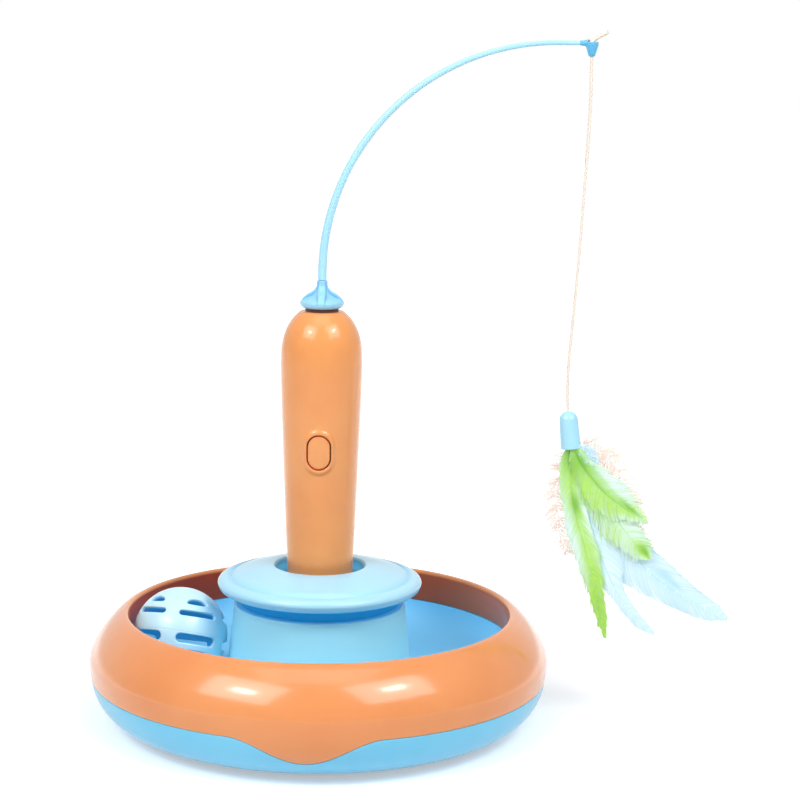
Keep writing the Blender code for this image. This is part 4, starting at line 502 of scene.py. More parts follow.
def addCord(route, radius, depth, stations, steps):
    flat = smoothLine(np.array(route) * 1000, stations)
    path = joined(flat[:, 0], 0.0, flat[:, 1])
    tube, crown = plyTube(path, radius, steps, depth)
    item = makeMesh("cord", [tube], {"crown": crown})
    settle(item, "cord", "lure_cord", "cord_cotton")


addCord(**cordSet)


# Base: bowl, rim ring, ball track and domed cap, turned round the upright axis

baseSet = {
    "floor": 70.0, "widest": 35.0, "widestHeight": 30.0, "bowlPower": 2.7, "wall": 2.2, "steps": 640,
    "seam": 21.5, "dip": 10.9, "dipHalf": 19.0, "gap": 0.14, "edge": 0.28,
    "crest": 88.7, "crown": (16.3, 20.9), "crownBack": (13.0, 18.7), "rimPower": 1.45,
    "lip": (1.5, 1.9), "lipFall": [(87.5, 45.0), (88.5, 40.0)], "foot": (89.7, 35.2),
    "footTurn": [(0.15, 0.1), (0.5, 0), (2.2, 0)], "backTop": (90.4, 45.5),
    # Painted shade darkens the rim inside this radius and below this height, and less by this share on the right,
    # where light comes in
    "deepInside": (91, 90), "deepBelow": (50.4, 49.1), "rightLight": 0.42,
    # The bowl's lip as steps in and up from its edge
    "bowlLip": [(-2.1, 0.0), (-2.1, 2.9), (-3.9, 2.9), (-4.4, -2.0)],
    # Distance from the middle, turn in quarters, radius, low and high of each boss and of its recess, and
    # the cut of the recess's upper corner
    "screws": (64, 0.5, (4.5, 1.2, 5.0), (2.9, -2, 2.7), 0.2),
    "feet": (58, 0, (8.1, 1.2, 4.4), (6.5, -2, 1.2), 0),
}


def seamHeight(angles, given):
    # Level, with one raised-cosine dip in front
    away = np.abs((angles + math.pi / 2 + math.pi) % (2 * math.pi) - math.pi)
    share = np.minimum(away / math.radians(given["dipHalf"]), 1)
    return given["seam"] - given["dip"] * (1 + np.cos(math.pi * share)) / 2


def bowlWall(low, high, rows, given):
    # The superellipse of the bowl by its own angle: r = floor + widest sin(a)^(2/p), z = h (1 - cos(a)^(2/p)).
    # It goes from the angle of the height low to that of the height high, for each place round the base.
    power, tall = given["bowlPower"], given["widestHeight"]
    start, end = (np.arccos(np.clip(1 - z / tall, 0, 1) ** (power / 2)) for z in (low, high))
    a = start + (end - start) * np.linspace(0, 1, rows)[:, None]
    radius = given["floor"] + given["widest"] * np.sin(a) ** (2 / power)
    return joined(radius, tall * (1 - np.cos(a) ** (2 / power)))


def edgeBend(ring, edge, start, end):
    # A quarter round at the wall's first or last ring: in by edge (1 - cos t), up by edge sin t
    t = np.linspace(start, end, 5)[:, None]
    return joined(ring[:, 0] - edge * (1 - np.cos(t)), ring[:, 1] + edge * np.sin(t))


def addBowl(given):
    # Out under the floor, up the bowl's curve to its edge, round the lip and down inside. The screws' and
    # the feet's bosses are joined on, and their recesses cut from below.
    angles, wall, edge = fullTurn(given["steps"]), given["wall"], given["edge"]
    steps = len(angles)
    top = seamHeight(angles, given) - given["gap"] / 2
    outside = bowlWall(np.zeros(steps), top - edge, 44, given)
    bend = edgeBend(outside[-1], edge, 0, math.pi / 2)
    lip = np.stack([bend[-1] + step for step in given["bowlLip"]])
    inner = bowlWall(np.full(steps, 0.4), top - 3, 8, given)[::-1] - (2 * wall, 0)
    inner[..., 1] = np.maximum(inner[..., 1], wall)
    under = level([(0.0, 0.0), (30.0, 0.0), (60.0, 0.0)], steps)
    floor = level([(60.0, wall), (0.0, wall)], steps)
    profile = closedUp(np.concatenate([under, outside, bend[1:], lip, inner, floor]))
    item = makeMesh("baseBowl", [sheet(turned(profile, angles))])
    bosses, holes = [], []
    for number in range(4):
        for reach, quarter, boss, hole, cut in (given["screws"], given["feet"]):
            around = (quarter + number) * math.pi / 2
            at = (reach * math.cos(around), reach * math.sin(around))
            bosses.append(sheet(lathed(drum(*boss), 32, at)))
            holes.append(sheet(lathed(softened(drum(*hole), [0, 0, cut, 0], 3), 40, at)))
    carve(item, bosses, "UNION")
    carve(item, holes, "DIFFERENCE")
    settle(item, "base", "base_shell", "sky_plastic")


def addRim(given):
    # Up the bowl's own curve, over the crown, down behind the lip to the foot, and back under the crown.
    # Painted shade darkens the inner wall below the lip, and less towards the right, where light comes in.
    angles = fullTurn(given["steps"])
    keys = ("wall", "edge", "crest", "widestHeight", "rimPower")
    wall, edge, crest, tall, power = (given[key] for key in keys)
    (footRadius, footHeight), lipSize, steps = given["foot"], given["lip"], len(angles)
    seam, rise = seamHeight(angles, given) + given["gap"] / 2, np.full(steps, tall)
    outside = bowlWall(seam + edge, rise, 22, given)
    bend = edgeBend(outside[0], edge, -math.pi / 2, 0)
    crown = arc((crest, tall), given["crown"], 0, 90, 60, power)
    lip = arc((crest, tall + given["crown"][1] - lipSize[1]), lipSize, 90, 180, 12)
    fall = smoothLine([lip[-1], *given["lipFall"], (footRadius, footHeight + 0.4)], 24)
    foot = [(footRadius + out, footHeight + up) for out, up in given["footTurn"]]
    back = arc((crest + 1.1, tall), given["crownBack"], 90, 0, 16, power)
    lower = bowlWall(seam, rise, 6, given)[::-1] - (wall, 0)
    fixed = level(np.vstack([crown[1:], lip[1:], fall[1:], foot, [given["backTop"]], back]), steps)
    profile = closedUp(np.concatenate([bend, outside[1:], fixed, lower]))
    paintedShade = ramp(profile[..., 0], *given["deepInside"]) * ramp(profile[..., 1], *given["deepBelow"])
    paintedShade = paintedShade * (1 - given["rightLight"] * np.clip(np.cos(angles), 0, 1) ** 1.5)
    item = makeMesh("rimRing", [sheet(turned(profile, angles))], {"inside": paintedShade})
    settle(item, "base", "rim_ring", "orange_plastic")


trackSet = {"middle": 64.0, "floor": 16.5, "outer": (25.4, 18.4), "inner": (22.2, 11.5), "thick": 2.2,
            "column": (39.3, 54.3), "waist": (40.6, 40.6), "flange": 94.7, "web": 17.7, "steps": 480,
            "columnDeep": 0.36, "deepFrom": (48, 56)}


def addTrack(middle, floor, outer, inner, thick, column, waist, flange, web, steps, columnDeep, deepFrom):
    # Two quarter ellipses make the trough. The column rises from the inner one to a small round corner.
    # Painted shade darkens the faces under the top fully, and the trough outside the column's foot by a share.
    (radius, height), outerAt, innerAt = column, (middle, floor + outer[1]), (middle, floor + inner[1])
    rise = arc(innerAt, inner, -90, -180, 32)
    flank = smoothLine([rise[-1], waist, (radius, height - 1.1)], 16)
    corner = arc((radius - 1.0, height - 1.0), (1.0, 1.0), 0, 90, 7)
    profile = closedUp(np.vstack([
        [(flange, outerAt[1])], arc(outerAt, outer, 0, -90, 40), rise[1:], flank[1:], corner,
        [(web, height), (web, height - thick), (radius - thick, height - thick)],
        arc(innerAt, np.add(inner, thick), -180, -90, 12), arc(outerAt, np.add(outer, thick), -90, -8, 14)[1:],
        [(flange, outerAt[1] - thick)],
    ]))
    below = ramp(profile[:, 1], height + 0.4, height - 0.2) * (profile[:, 0] < radius - 1.6)
    paintedShade = np.maximum(below, columnDeep * ramp(profile[:, 0], *deepFrom))
    grid = turned(profile, fullTurn(steps))
    item = makeMesh("ballTrack", [sheet(grid)], {"inside": np.repeat(paintedShade, steps)})
    settle(item, "base", "track_tray", "sky_plastic", "track_painted_lit_plastic")


capSet = {
    "mouth": 21.3, "mouthTop": 72.0, "funnel": 5.5, "socketFloor": 45.0, "socketFit": 0.5, "wall": 2.2,
    "top": [(21.3, 72.0), (24.5, 71.75), (30.0, 70.6), (35.5, 69.1), (39.3, 67.75)],
    "bead": [(40.2, 66.95), (40.9, 66.20), (41.6, 66.05), (42.15, 66.45), (42.6, 66.82)],
    "roll": (42.6, 63.7), "rollSize": (4.2, 3.12), "under": 60.3, "neck": 36.2, "neckFoot": 54.6, "steps": 480,
    "funnelDeep": 0.85, "grooveDeep": 0.24, "groove": (41.3, 65.5),
}
handleSet = {
    "foot": 50.0, "waist": 165.0, "dome": 168.0, "radius": 18.5, "taper": 4.3, "taperPower": 1.2,
    "domeRadius": 18.4, "domeHeight": 23.9, "domePower": 2.2, "flat": 189.2, "wall": 2.0, "bore": 3.9,
    "collar": 11.8, "split": 0.04, "edge": 0.28, "edgeShare": 0.988,
    "screws": [(0.0, 111.8), (-11.2, 144.0), (11.2, 144.0)],
}


def handleRadius(z):
    # A slow taper, a short straight waist, then a superellipse dome
    z, given = np.asarray(z, float), handleSet
    waist, dome, power = given["waist"], given["dome"], given["domePower"]
    up = np.clip((z - dome) / given["domeHeight"], 0, 1)
    down = np.clip((waist - z) / (waist - given["foot"]), 0, 1)
    taper = given["radius"] - given["taper"] * down ** given["taperPower"]
    ease = np.clip((z - waist) / (dome - waist), 0, 1) * (given["radius"] - given["domeRadius"])
    return np.where(z > dome, given["domeRadius"] * (1 - up**power) ** (1 / power), taper - ease)


def addCap(mouth, mouthTop, funnel, socketFloor, socketFit, wall, top, bead, roll, rollSize, under, neck,
           neckFoot, steps, funnelDeep, grooveDeep, groove):
    # The socket follows the handle's taper and opens by a funnel to the mouth. From there the top falls to a
    # bead, rounds the roll and turns in to the neck, and the wall's inside runs back to the socket.
    funnelFoot = mouthTop - funnel
    heights = np.linspace(socketFloor, funnelFoot, 12)
    bore = handleRadius(heights) + socketFit
    low, high = bore[0], bore[-1]
    slope = [(high, funnelFoot), (high + 1.0, funnelFoot + 1.2), (mouth - 1.5, funnelFoot + 3.6),
             (mouth - 0.55, mouthTop - 0.45), (mouth, mouthTop)]
    edge = arc(roll, rollSize, 90, -8, 20)
    rollRadius = roll[0] + rollSize[0]
    turnIn = smoothLine([edge[-1], (rollRadius - 0.9, under + 1.2), (rollRadius - 2.6, under + 0.1)], 10)
    profile = closedUp(np.vstack([
        [(0, socketFloor)], joined(bore, heights), smoothLine(slope, 24)[1:], smoothLine(top + bead, 56)[1:],
        edge[1:], turnIn[1:], [(neck + 0.5, under), (neck, under - 0.5), (neck, neckFoot)],
        [(neck - wall, neckFoot), (neck - wall, under + 1.1)],
        [(mouth + wall, mouthTop - 2 * wall), (high + wall, funnelFoot - wall)],
        [(low + wall, socketFloor - wall), (0, socketFloor - wall)],
    ]))
    radius, height = profile.T
    # Painted shade: darker down the funnel, under the roll, and in a band beside the bead's groove
    inFunnel = funnelDeep * ramp(radius, mouth - 0.1, mouth - 1.3)
    below = ramp(height, under + 0.9, under + 0.1) * (radius > mouth)
    beside = grooveDeep * np.exp(-((radius - groove[0]) / 0.7) ** 2) * (height > groove[1])
    paintedShade = np.maximum(np.maximum(inFunnel, below), beside)
    grid = turned(profile, fullTurn(steps))
    item = makeMesh("domedCap", [sheet(grid)], {"inside": np.repeat(paintedShade, steps)})
    settle(item, "base", "socket_cap", "pale_sky_plastic")


addBowl(baseSet)
addRim(baseSet)
addTrack(**trackSet)
addCap(**capSet)
print("base made")


# Lattice ball: each half is a spherical shell, cut into cells round its slots

ballSet = {
    "centre": (64 * math.cos(math.radians(183.2)), 64 * math.sin(math.radians(183.2)), 38.4),
    "radius": 21.6, "wall": 1.8, "lean": 21.4, "towards": 74.0, "spin": 9.0, "seam": 0.02,
    "belt": 0.9, "slots": 5, "fillet": 0.55, "back": 0.25, "across": 28, "along": 12,
    "upper": {"limits": (0.9, 32.0, 52.0),
              "rows": [{"latitude": 23.6, "half": 3.6, "long": 26.5, "arched": False},
                       {"latitude": 41.5, "half": 4.8, "long": 17.0, "arched": True}]},
    "lower": {"limits": (0.9, 17.6, 38.0),
              "rows": [{"latitude": 8.4, "half": 5.8, "long": 26.5, "arched": False},
                       {"latitude": 26.0, "half": 4.2, "long": 17.0, "arched": True}]},
}


def spherical(longitude, latitude, radius):
    # x = r cos(lat) cos(lon), y = r cos(lat) sin(lon), z = r sin(lat)
    reach = radius * np.cos(latitude)
    return joined(reach * np.cos(longitude), reach * np.sin(longitude), radius * np.sin(latitude))


def slotLoop(row, shrink, counts):
    # A stadium, or a half ellipse on a boxy foot, in degrees of arc, from its lower right corner round
    half, long = row["half"], row["long"] * shrink
    if row["arched"]:
        foot = half * 0.42
        upper = arc((0, foot - half), (long, 2 * half - foot), 0, 180, 61)
        lower = arc((0, foot - half), (long, foot), 180, 360, 61, 3.4)
        line = np.vstack([lower[45:-1], upper, lower[1:46]])
        return evenly(line, [0, 33, 57, len(line) - 31, len(line) - 1], counts)
    right = arc((long - half, 0), (half, half), -45, 90, 28)
    left = arc((half - long, 0), (half, half), 90, 270, 37)
    last = arc((long - half, 0), (half, half), 270, 315, 10)
    line = np.vstack([right, left, last])
    return evenly(line, [0, 18, 37, 55, len(line) - 1], counts)


def grown(loop, distance):
    # The loop moved outwards along its own normals
    ahead = unit(np.roll(loop, -1, 0) - np.roll(loop, 1, 0))
    return loop + distance * joined(ahead[:, 1], -ahead[:, 0])


def boxLoop(half, low, high, counts):
    # A rectangle from its lower right corner round, in even steps on each side
    corners = np.array([(half, low), (half, high), (-half, high), (-half, low), (half, low)])
    return evenly(corners, [0, 1, 2, 3, 4], counts)


def slotCell(row, low, high, given):
    # Rings from the cell's box to the slot, round its outer fillet, through the wall and back on the inside.
    # Each ring gives longitude, latitude and radius.
    radius, wall, fillet, back = (given[key] for key in ("radius", "wall", "fillet", "back"))
    counts, latitude = (given["along"], given["across"]) * 2, row["latitude"]
    toDegrees, shrink = 180 / math.pi / radius, math.cos(math.radians(latitude))
    edge = slotLoop(row, shrink, counts)
    box = boxLoop(180 / given["slots"] * shrink, low - latitude, high - latitude, counts)
    outside = grown(edge, fillet * toDegrees)

    def bent(size, degrees, floor):
        # A quarter round of the slot's edge: out by size (1 - sin), and from the floor by size (1 - cos)
        return [(grown(edge, size * toDegrees * (1 - math.sin(a))), floor(size * (1 - math.cos(a))))
                for a in np.radians(degrees)]

    rings = [(box + (outside - box) * share, radius) for share in (0, 0.22, 0.45, 0.66, 0.84, 0.94, 1)]
    rings += bent(fillet, (18, 36, 54, 72, 90), lambda drop: radius - drop)
    rings.append((edge, radius - wall + back))
    rings += bent(back, (60, 30, 0), lambda rise: radius - wall + rise)
    rings += [(box + (outside - box) * share, radius - wall) for share in (0.7, 0.35, 0)]
    flat, deep = np.stack([loop for loop, _ in rings]), np.array([r for _, r in rings])[:, None]
    return flat[..., 0] / shrink, flat[..., 1] + latitude, deep


def addBallHalf(given, cut, side, name, node):
    # The cells of both slot rows, the two caps above them and the belt at the seam, turned by spin and lean.
    # Painted shade darkens the inner faces, and a little the side towards the column, which lies in shade.
    radius, seam, limits, slots = given["radius"], given["seam"], cut["limits"], given["slots"]
    inner = radius - given["wall"]
    grids = []
    for row, low, high in zip(cut["rows"], limits[:-1], limits[1:]):
        lon, lat, deep = slotCell(row, low, high, given)
        grids += [spherical(np.radians(lon + 360 / slots * k), np.radians(lat), deep) for k in range(slots)]
    around = np.radians(np.arange(slots * given["across"]) * 360 / slots / given["across"] - 36)
    upward = np.radians(np.linspace(limits[-1], 90, 18))[:, None]
    grids += [spherical(around, upward, shell) for shell in (radius, inner)]
    c, s = math.cos(math.radians(given["belt"])), math.sin(math.radians(given["belt"]))
    belt = [(radius * c, radius * s), (radius, 0.06), (radius - 0.03, seam)]
    grids.append(turned(np.array(belt + [(inner, seam), (inner * c, inner * s)]), around))
    lean, spin, towards = (math.radians(given[key]) for key in ("lean", "spin", "towards"))
    axis = (-math.sin(towards), math.cos(towards), 0)
    turn = np.array(Matrix.Rotation(lean, 3, axis) @ Matrix.Rotation(spin, 3, "Z"))
    placed = [(grid * (1, 1, side)) @ turn.T for grid in grids]
    depth = np.concatenate([radius - np.linalg.norm(grid, axis=-1).ravel() for grid in grids])
    right = np.concatenate([grid[..., 0].ravel() for grid in placed]) / radius
    paintedShade = np.maximum(ramp(depth, 0.7, 1.6), 0.34 * ramp(right, 0.35, 0.95))
    item = makeMesh(name, [sheet(grid + given["centre"]) for grid in placed], {"inside": paintedShade})
    settle(item, "ball", node, "ball_plastic")


addBallHalf(ballSet, ballSet["upper"], 1, "ballUpper", "ball_upper_half")
addBallHalf(ballSet, ballSet["lower"], -1, "ballLower", "ball_lower_half")
print("ball made")


# Handle: two half shells, the front one with a raised oval round the button

buttonSet = {
    "height": 127.3, "bezel": (7.15, 10.4), "button": (4.95, 7.5), "gap": 0.52, "bezelRise": 0.95,
    "buttonRise": 0.75, "cell": (108.0, 146.0), "cellShare": 0.42, "across": 36, "along": 44,
    "sideColumns": 34, "depth": 2.6,
    # The bezel's ring from outside in: share of its width, share of its rise
    "bezelRing": [(-0.75, 0.0), (-0.45, 0.02), (-0.22, 0.10), (0.0, 0.26), (0.12, 0.46), (0.26, 0.68), (0.42, 0.86),
                  (0.58, 0.95), (0.72, 0.97), (0.84, 0.88), (0.93, 0.68), (0.985, 0.38), (1.0, 0.0)],
    # The button's edge: inset and drop
    "roundOff": [(0.62, 0.02), (0.38, 0.07), (0.18, 0.17), (0.05, 0.34), (0.0, 0.58)],
}


def ovalLoop(halfWide, halfTall, counts):
    # A stadium in millimetres, from its lower right corner round
    straight = halfTall - halfWide
    above = arc((0, straight), (halfWide, halfWide), 0, 180, 61)
    below = arc((0, -straight), (halfWide, halfWide), 180, 360, 61)
    line = np.vstack([below[45:], above, below[:46]])
    return evenly(line, [0, 31, 61, len(line) - 31, len(line) - 1], counts)


def onFront(loop, lift):
    # Loop points (sideways, up from the button's middle) set on the handle's front, raised by lift
    x, z = loop[..., 0], buttonSet["height"] + loop[..., 1]
    return joined(x, -np.sqrt(np.maximum((handleRadius(z) + lift) ** 2 - x**2, 0)), z)


def buttonCell(given, button, heights):
    # Rings from the cell's box in to the bezel, over its rounded ring, down its hole and back inside
    counts = (button["along"], button["across"]) * 2
    (low, high), share, wall = button["cell"], button["cellShare"], given["wall"]
    across = np.linspace(share, -share, button["across"] + 1)

    def border(lift):
        # The cell's four sides as points on the handle, from the lower right corner round
        sides = []
        upward, back = heights[:-1], across[:0:-1]
        for s, z in ((share, upward), (across[:-1], high), (-share, heights[:0:-1]), (back, low)):
            radius = handleRadius(z) + lift
            sides.append(joined(radius * np.sin(s * np.arccos(given["split"] / radius)), z))
        return np.concatenate(sides) - (0, button["height"])

    hole = ovalLoop(*(size + button["gap"] for size in button["button"]), counts)
    rim = ovalLoop(*button["bezel"], counts)
    start, inner = border(0), border(-wall)
    foot = grown(rim, 0.75)
    rings = [onFront(start + (foot - start) * t, 0.0) for t in (0, 0.25, 0.5, 0.75, 0.9)]
    for share, rise in button["bezelRing"]:
        loop = grown(rim, -share) if share < 0 else rim + (hole - rim) * share
        rings.append(onFront(loop, rise * button["bezelRise"] / 0.97))
    rings += [onFront(hole, -1.0), onFront(hole, -wall)]
    rings += [onFront(hole + (inner - hole) * t, -wall) for t in (0.4, 1)]
    # Painted shade darkens the bezel's inner edge and the hole's walls, in the gap round the button
    deep = np.zeros(len(rings))
    deep[-7:] = (0.1, 0.45, 0.9, 1, 1, 1, 1)
    return np.stack(rings), np.repeat(deep, len(start))


def makeHandleHalf(given, button, side, name):
    # The half's profile from foot to bore, inside and out, carried from one side of the split plane to the
    # other. The front half leaves out the rows and columns of the button's cell.
    keys = ("foot", "waist", "dome", "flat", "wall", "bore")
    foot, waist, dome, flat, wall, bore = (given[key] for key in keys)
    (low, high), share = button["cell"], button["cellShare"]
    columns, across = button["sideColumns"], button["across"]
    rise = np.concatenate([
        np.linspace(foot + 0.9, low, 24)[:-1], np.linspace(low, high, button["along"] + 1)[:-1],
        np.linspace(high, waist, 8)[:-1], np.linspace(waist, dome, 4)[:-1],
        dome + (flat - 0.35 - dome) * np.sin(np.linspace(0, math.pi / 2, 30)),
    ])
    radius, footRadius = handleRadius(rise), float(handleRadius(foot))
    outer = np.vstack([
        [(footRadius - 0.7, foot), (footRadius - 0.28, foot + 0.12), (footRadius - 0.05, foot + 0.45)],
        joined(radius, rise), [(radius[-1] - 0.35, flat - 0.10), (radius[-1] - 0.8, flat)],
        [(7.0, flat), (bore, flat)],
    ])
    inner = outer - (wall, 0)
    inner[:3] = [(given["collar"], foot + up) for up in (0, 0.7, 1.4)]
    inner[:, 1] = np.minimum(inner[:, 1], flat - wall)
    inner[:, 0] = np.maximum(inner[:, 0], bore)
    inner[-2:, 0] = 6.0, bore
    turn = given["edgeShare"]
    stops = ((-1, -turn, 5), (-turn, -share, columns), (-share, share, across + 1), (share, turn, columns))
    shares = np.concatenate([np.linspace(*stop)[:-1] for stop in stops] + [np.linspace(turn, 1, 5)])

    def ringed(profile, shares, edge):
        # Each profile point at the shares of the half turn; close to the split the radius drops round an edge
        radius, height = profile[:, :1], profile[:, 1:]
        radius = radius - edge * (1 - np.sqrt(1 - ramp(np.abs(shares), turn, 1) ** 2))
        angle = shares * np.arccos(np.clip(given["split"] / radius, 0, 1))
        return joined(radius * np.sin(angle), -side * radius * np.cos(angle), height)

    first = 4 + columns - 1
    last = first + across
    rowLow, rowHigh = (int(np.argmin(np.abs(outer[:, 1] - z))) for z in (low, high))
    beside = slice(first, last + 1)
    windows = [(slice(None), slice(None))]
    if side > 0:
        windows = [(slice(None), slice(first + 1)), (slice(None), slice(last, None)),
                   (slice(rowLow + 1), beside), (slice(rowHigh, None), beside)]
    skins = ((outer, given["edge"]), (inner, 0.0))
    patches = [sheet(ringed(profile[rows], shares[part], edge), False)
               for profile, edge in skins for rows, part in windows]
    walls = [ringed(profile, shares, edge) for profile, edge in skins]
    for end in (np.s_[0], np.s_[-1], np.s_[:, 0], np.s_[:, -1]):
        patches.append(sheet(np.stack([grid[end] for grid in walls]), False))
    # Painted shade darkens the shell by a share from a little above the cap's mouth down to its foot
    paintedShade = 0.22 * ramp(np.concatenate([points[:, 2] for points, _ in patches]), 77, 70)
    if side > 0:
        cell, deep = buttonCell(given, button, outer[rowLow : rowHigh + 1, 1])
        patches.append(sheet(cell))
        paintedShade = np.concatenate([paintedShade, deep])
    return makeMesh(name, patches, {"inside": paintedShade})


def addButton(button):
    # Rings from the button's middle out over its domed face, round its edge and down its side
    edge = ovalLoop(*button["button"], (button["along"], button["across"]) * 2)
    lift = button["buttonRise"]
    rings = [onFront(edge * t, lift + 0.12 * (1 - t**2)) for t in (0, 0.15, 0.4, 0.65, 0.82)]
    rings += [onFront(grown(edge, -inset), lift - drop) for inset, drop in button["roundOff"]]
    rings += [onFront(edge * share, lift - button["depth"]) for share in (1, 0)]
    # Painted shade darkens the button's rounded edge and its side, in the gap
    deep = np.repeat([0] * 7 + [0.15, 0.6, 1, 1, 1], len(edge))
    item = makeMesh("button", [sheet(np.stack(rings))], {"inside": deep})
    settle(item, "button", "power_button", "orange_plastic", "grip_plastic")


def addHandle(given, button):
    # The back half gets three screw bosses, which end inside its wall, and their recesses
    front = makeHandleHalf(given, button, 1, "handleFront")
    settle(front, "handle", "handle_front_shell", "orange_plastic", "grip_plastic")
    back = makeHandleHalf(given, button, -1, "handleBack")
    bosses, holes = [], []
    for x, z in given["screws"]:
        def upright(profile):
            # Turned about the Y axis through (x, z): the profile's height runs towards the back
            grid = turned(closedUp(np.array(profile)), fullTurn(40))
            return sheet(joined(grid[..., 0] + x, grid[..., 2], grid[..., 1] + z))
        across = np.array((4.0, 2.0, 0.0))[:, None] * np.ones(40)
        rim = np.sqrt((float(handleRadius(z)) - 0.8) ** 2 - (x + across * np.cos(fullTurn(40))) ** 2)
        bosses.append(upright(np.concatenate([level([(0, 7.4), (4.0, 7.4)], 40), joined(across, rim)])))
        holes.append(upright(softened(drum(2.9, 8.4, 30), [0, 0.3, 0, 0], 4)))
    carve(back, bosses, "UNION")
    carve(back, holes, "DIFFERENCE")
    settle(back, "handle", "handle_back_shell", "orange_plastic", "grip_plastic")


addHandle(handleSet, buttonSet)
addButton(buttonSet)
print("handle made")


# Rotor: hub with four gussets, bent rod, eyelet and stopper knot

hubSet = {
    "foot": 190.6, "radius": 9.96, "bore": 1.8, "blind": 198.9, "gusset": 1.70, "soft": 0.40,
    "skirt": [(2.4, 0), (1.5, 0.12), (0.75, 0.50), (0.27, 1.10), (0.04, 1.85)],
    "ridge": [(9.96, 193.2), (9.35, 194.05), (8.7, 195.0), (7.7, 195.95), (6.6, 196.9), (5.0, 197.8),
              (3.7, 198.8), (2.9, 199.8), (2.5, 200.8), (2.42, 202.0), (2.4, 202.7)],
    "hollow": [(9.96, 193.2), (9.45, 193.85), (8.6, 194.35), (7.2, 194.85), (5.7, 195.4), (4.3, 196.3),
               (3.5, 197.5), (2.9, 198.9), (2.5, 200.4), (2.42, 201.8), (2.4, 202.7)],
    "top": 203.0, "steps": 480,
}
sealSet = {"inner": 4.4, "outer": 7.5, "low": 189.1, "high": 190.45}
rodSet = {"foot": 203.3, "straight": 2.9, "bend": 103.7, "end": 112.7, "radii": (2.0, 1.0), "stations": 220}
eyeletSet = {"x": 118.0, "z": 309.9, "low": 304.2, "high": 310.4, "foot": 1.40, "radius": 2.9, "bore": 0.95,
             "stemStart": 112.72, "stem": 1.15 + np.array([-0.2, 0, 0, 0.03, 0.1, 0.25, 0.4, 0.5])}
knotSet = {"middle": (118.2, -0.3), "seat": 308.7, "radius": 2.25, "cord": 0.78, "tail": 7.2, "lean": 60.0,
           "bore": (118.0, 0.0, 301.9), "frayed": 26}


def addHub(foot, radius, bore, blind, gusset, soft, skirt, ridge, hollow, top, steps):
    # The bell's profile runs from the hollow to the ridge wherever a gusset's plane is near
    angles = fullTurn(steps)
    ridge, hollow = smoothLine(ridge, 60), smoothLine(hollow, 60)
    nearest = (angles + math.pi / 4) % (math.pi / 2) - math.pi / 4
    near = 1 / (1 + np.exp((np.abs(hollow[:, :1] * np.sin(nearest)) - gusset) / (soft / 3)))
    bell = hollow[:, None] + (ridge - hollow)[:, None] * near[..., None]
    under = [(0, blind), (bore, blind), (bore, foot)] + [(radius - inward, foot + up) for inward, up in skirt]
    tip = level([(2.36, top - 0.12), (2.2, top), (0, top)], steps)
    grid = turned(np.concatenate([level(under, steps), bell, tip]), angles)
    # Painted shade: a dark line along each flank of a gusset, where it meets the hollow
    flank = np.zeros(grid.shape[:2])
    flank[len(under) : len(under) + len(bell)] = 2.4 * near * (1 - near)
    item = makeMesh("hub", [sheet(grid)], {"inside": flank})
    settle(item, "rotor", "rotor_hub", "sky_plastic", "hub_plastic")


def addSeal(inner, outer, low, high):
    # A dark ring on the handle's top, which the hub turns above
    corners = [(inner, low), (outer, low), (outer, high), (inner, high)]
    item = makeMesh("hubSeal", [sheet(lathed(softened(corners, [0.1, 0.1, 0.3, 0.2], 4), 120))])
    settle(item, "handle", None, "black_plastic", "seal_rubber")


def addRod(foot, straight, bend, end, radii, stations):
    # Straight up, a quarter circle and a level reach, thinning evenly
    turn, lift = np.radians(np.linspace(0, 90, 140)), foot + straight
    x = np.concatenate([np.zeros(6), bend * (1 - np.cos(turn)), np.linspace(bend, end, 14)[1:]])
    z = np.concatenate([np.linspace(foot, lift, 7)[:-1], lift + bend * np.sin(turn), np.full(13, lift + bend)])
    path = smoothLine(joined(x, 0.0, z), stations)
    radii = np.linspace(*radii, len(path))
    radii[[0, -1]] -= 0.15
    item = makeMesh("rod", [sheet(tubeAlong(path, radii, 24))])
    settle(item, "rotor", "lure_rod", "sky_plastic", "pale_sky_plastic")


def addEyelet(x, z, low, high, foot, radius, bore, stemStart, stem):
    # A small cone, wide above and narrow below, hollow down to its bore, with its stem
    corners = [(bore, low), (foot, low), (radius, high - 1.3), (radius, high), (radius - 0.6, high),
               (bore + 0.25, high - 4.0), (bore, high - 4.6)]
    cup = lathed(softened(corners, [0.2, 0.4, 1.4, 0.25, 0.25, 0.8, 0.3], 6), 64, (x, 0))
    path = joined(np.linspace(stemStart, x - 2.0, len(stem)), 0.0, z)
    # Painted shade darkens the whole eyelet by a fixed share
    item = makeMesh("eyelet", [sheet(cup), sheet(tubeAlong(path, stem, 24))], {"inside": 0.40})
    settle(item, "rotor", "rod_eyelet", "sky_plastic")


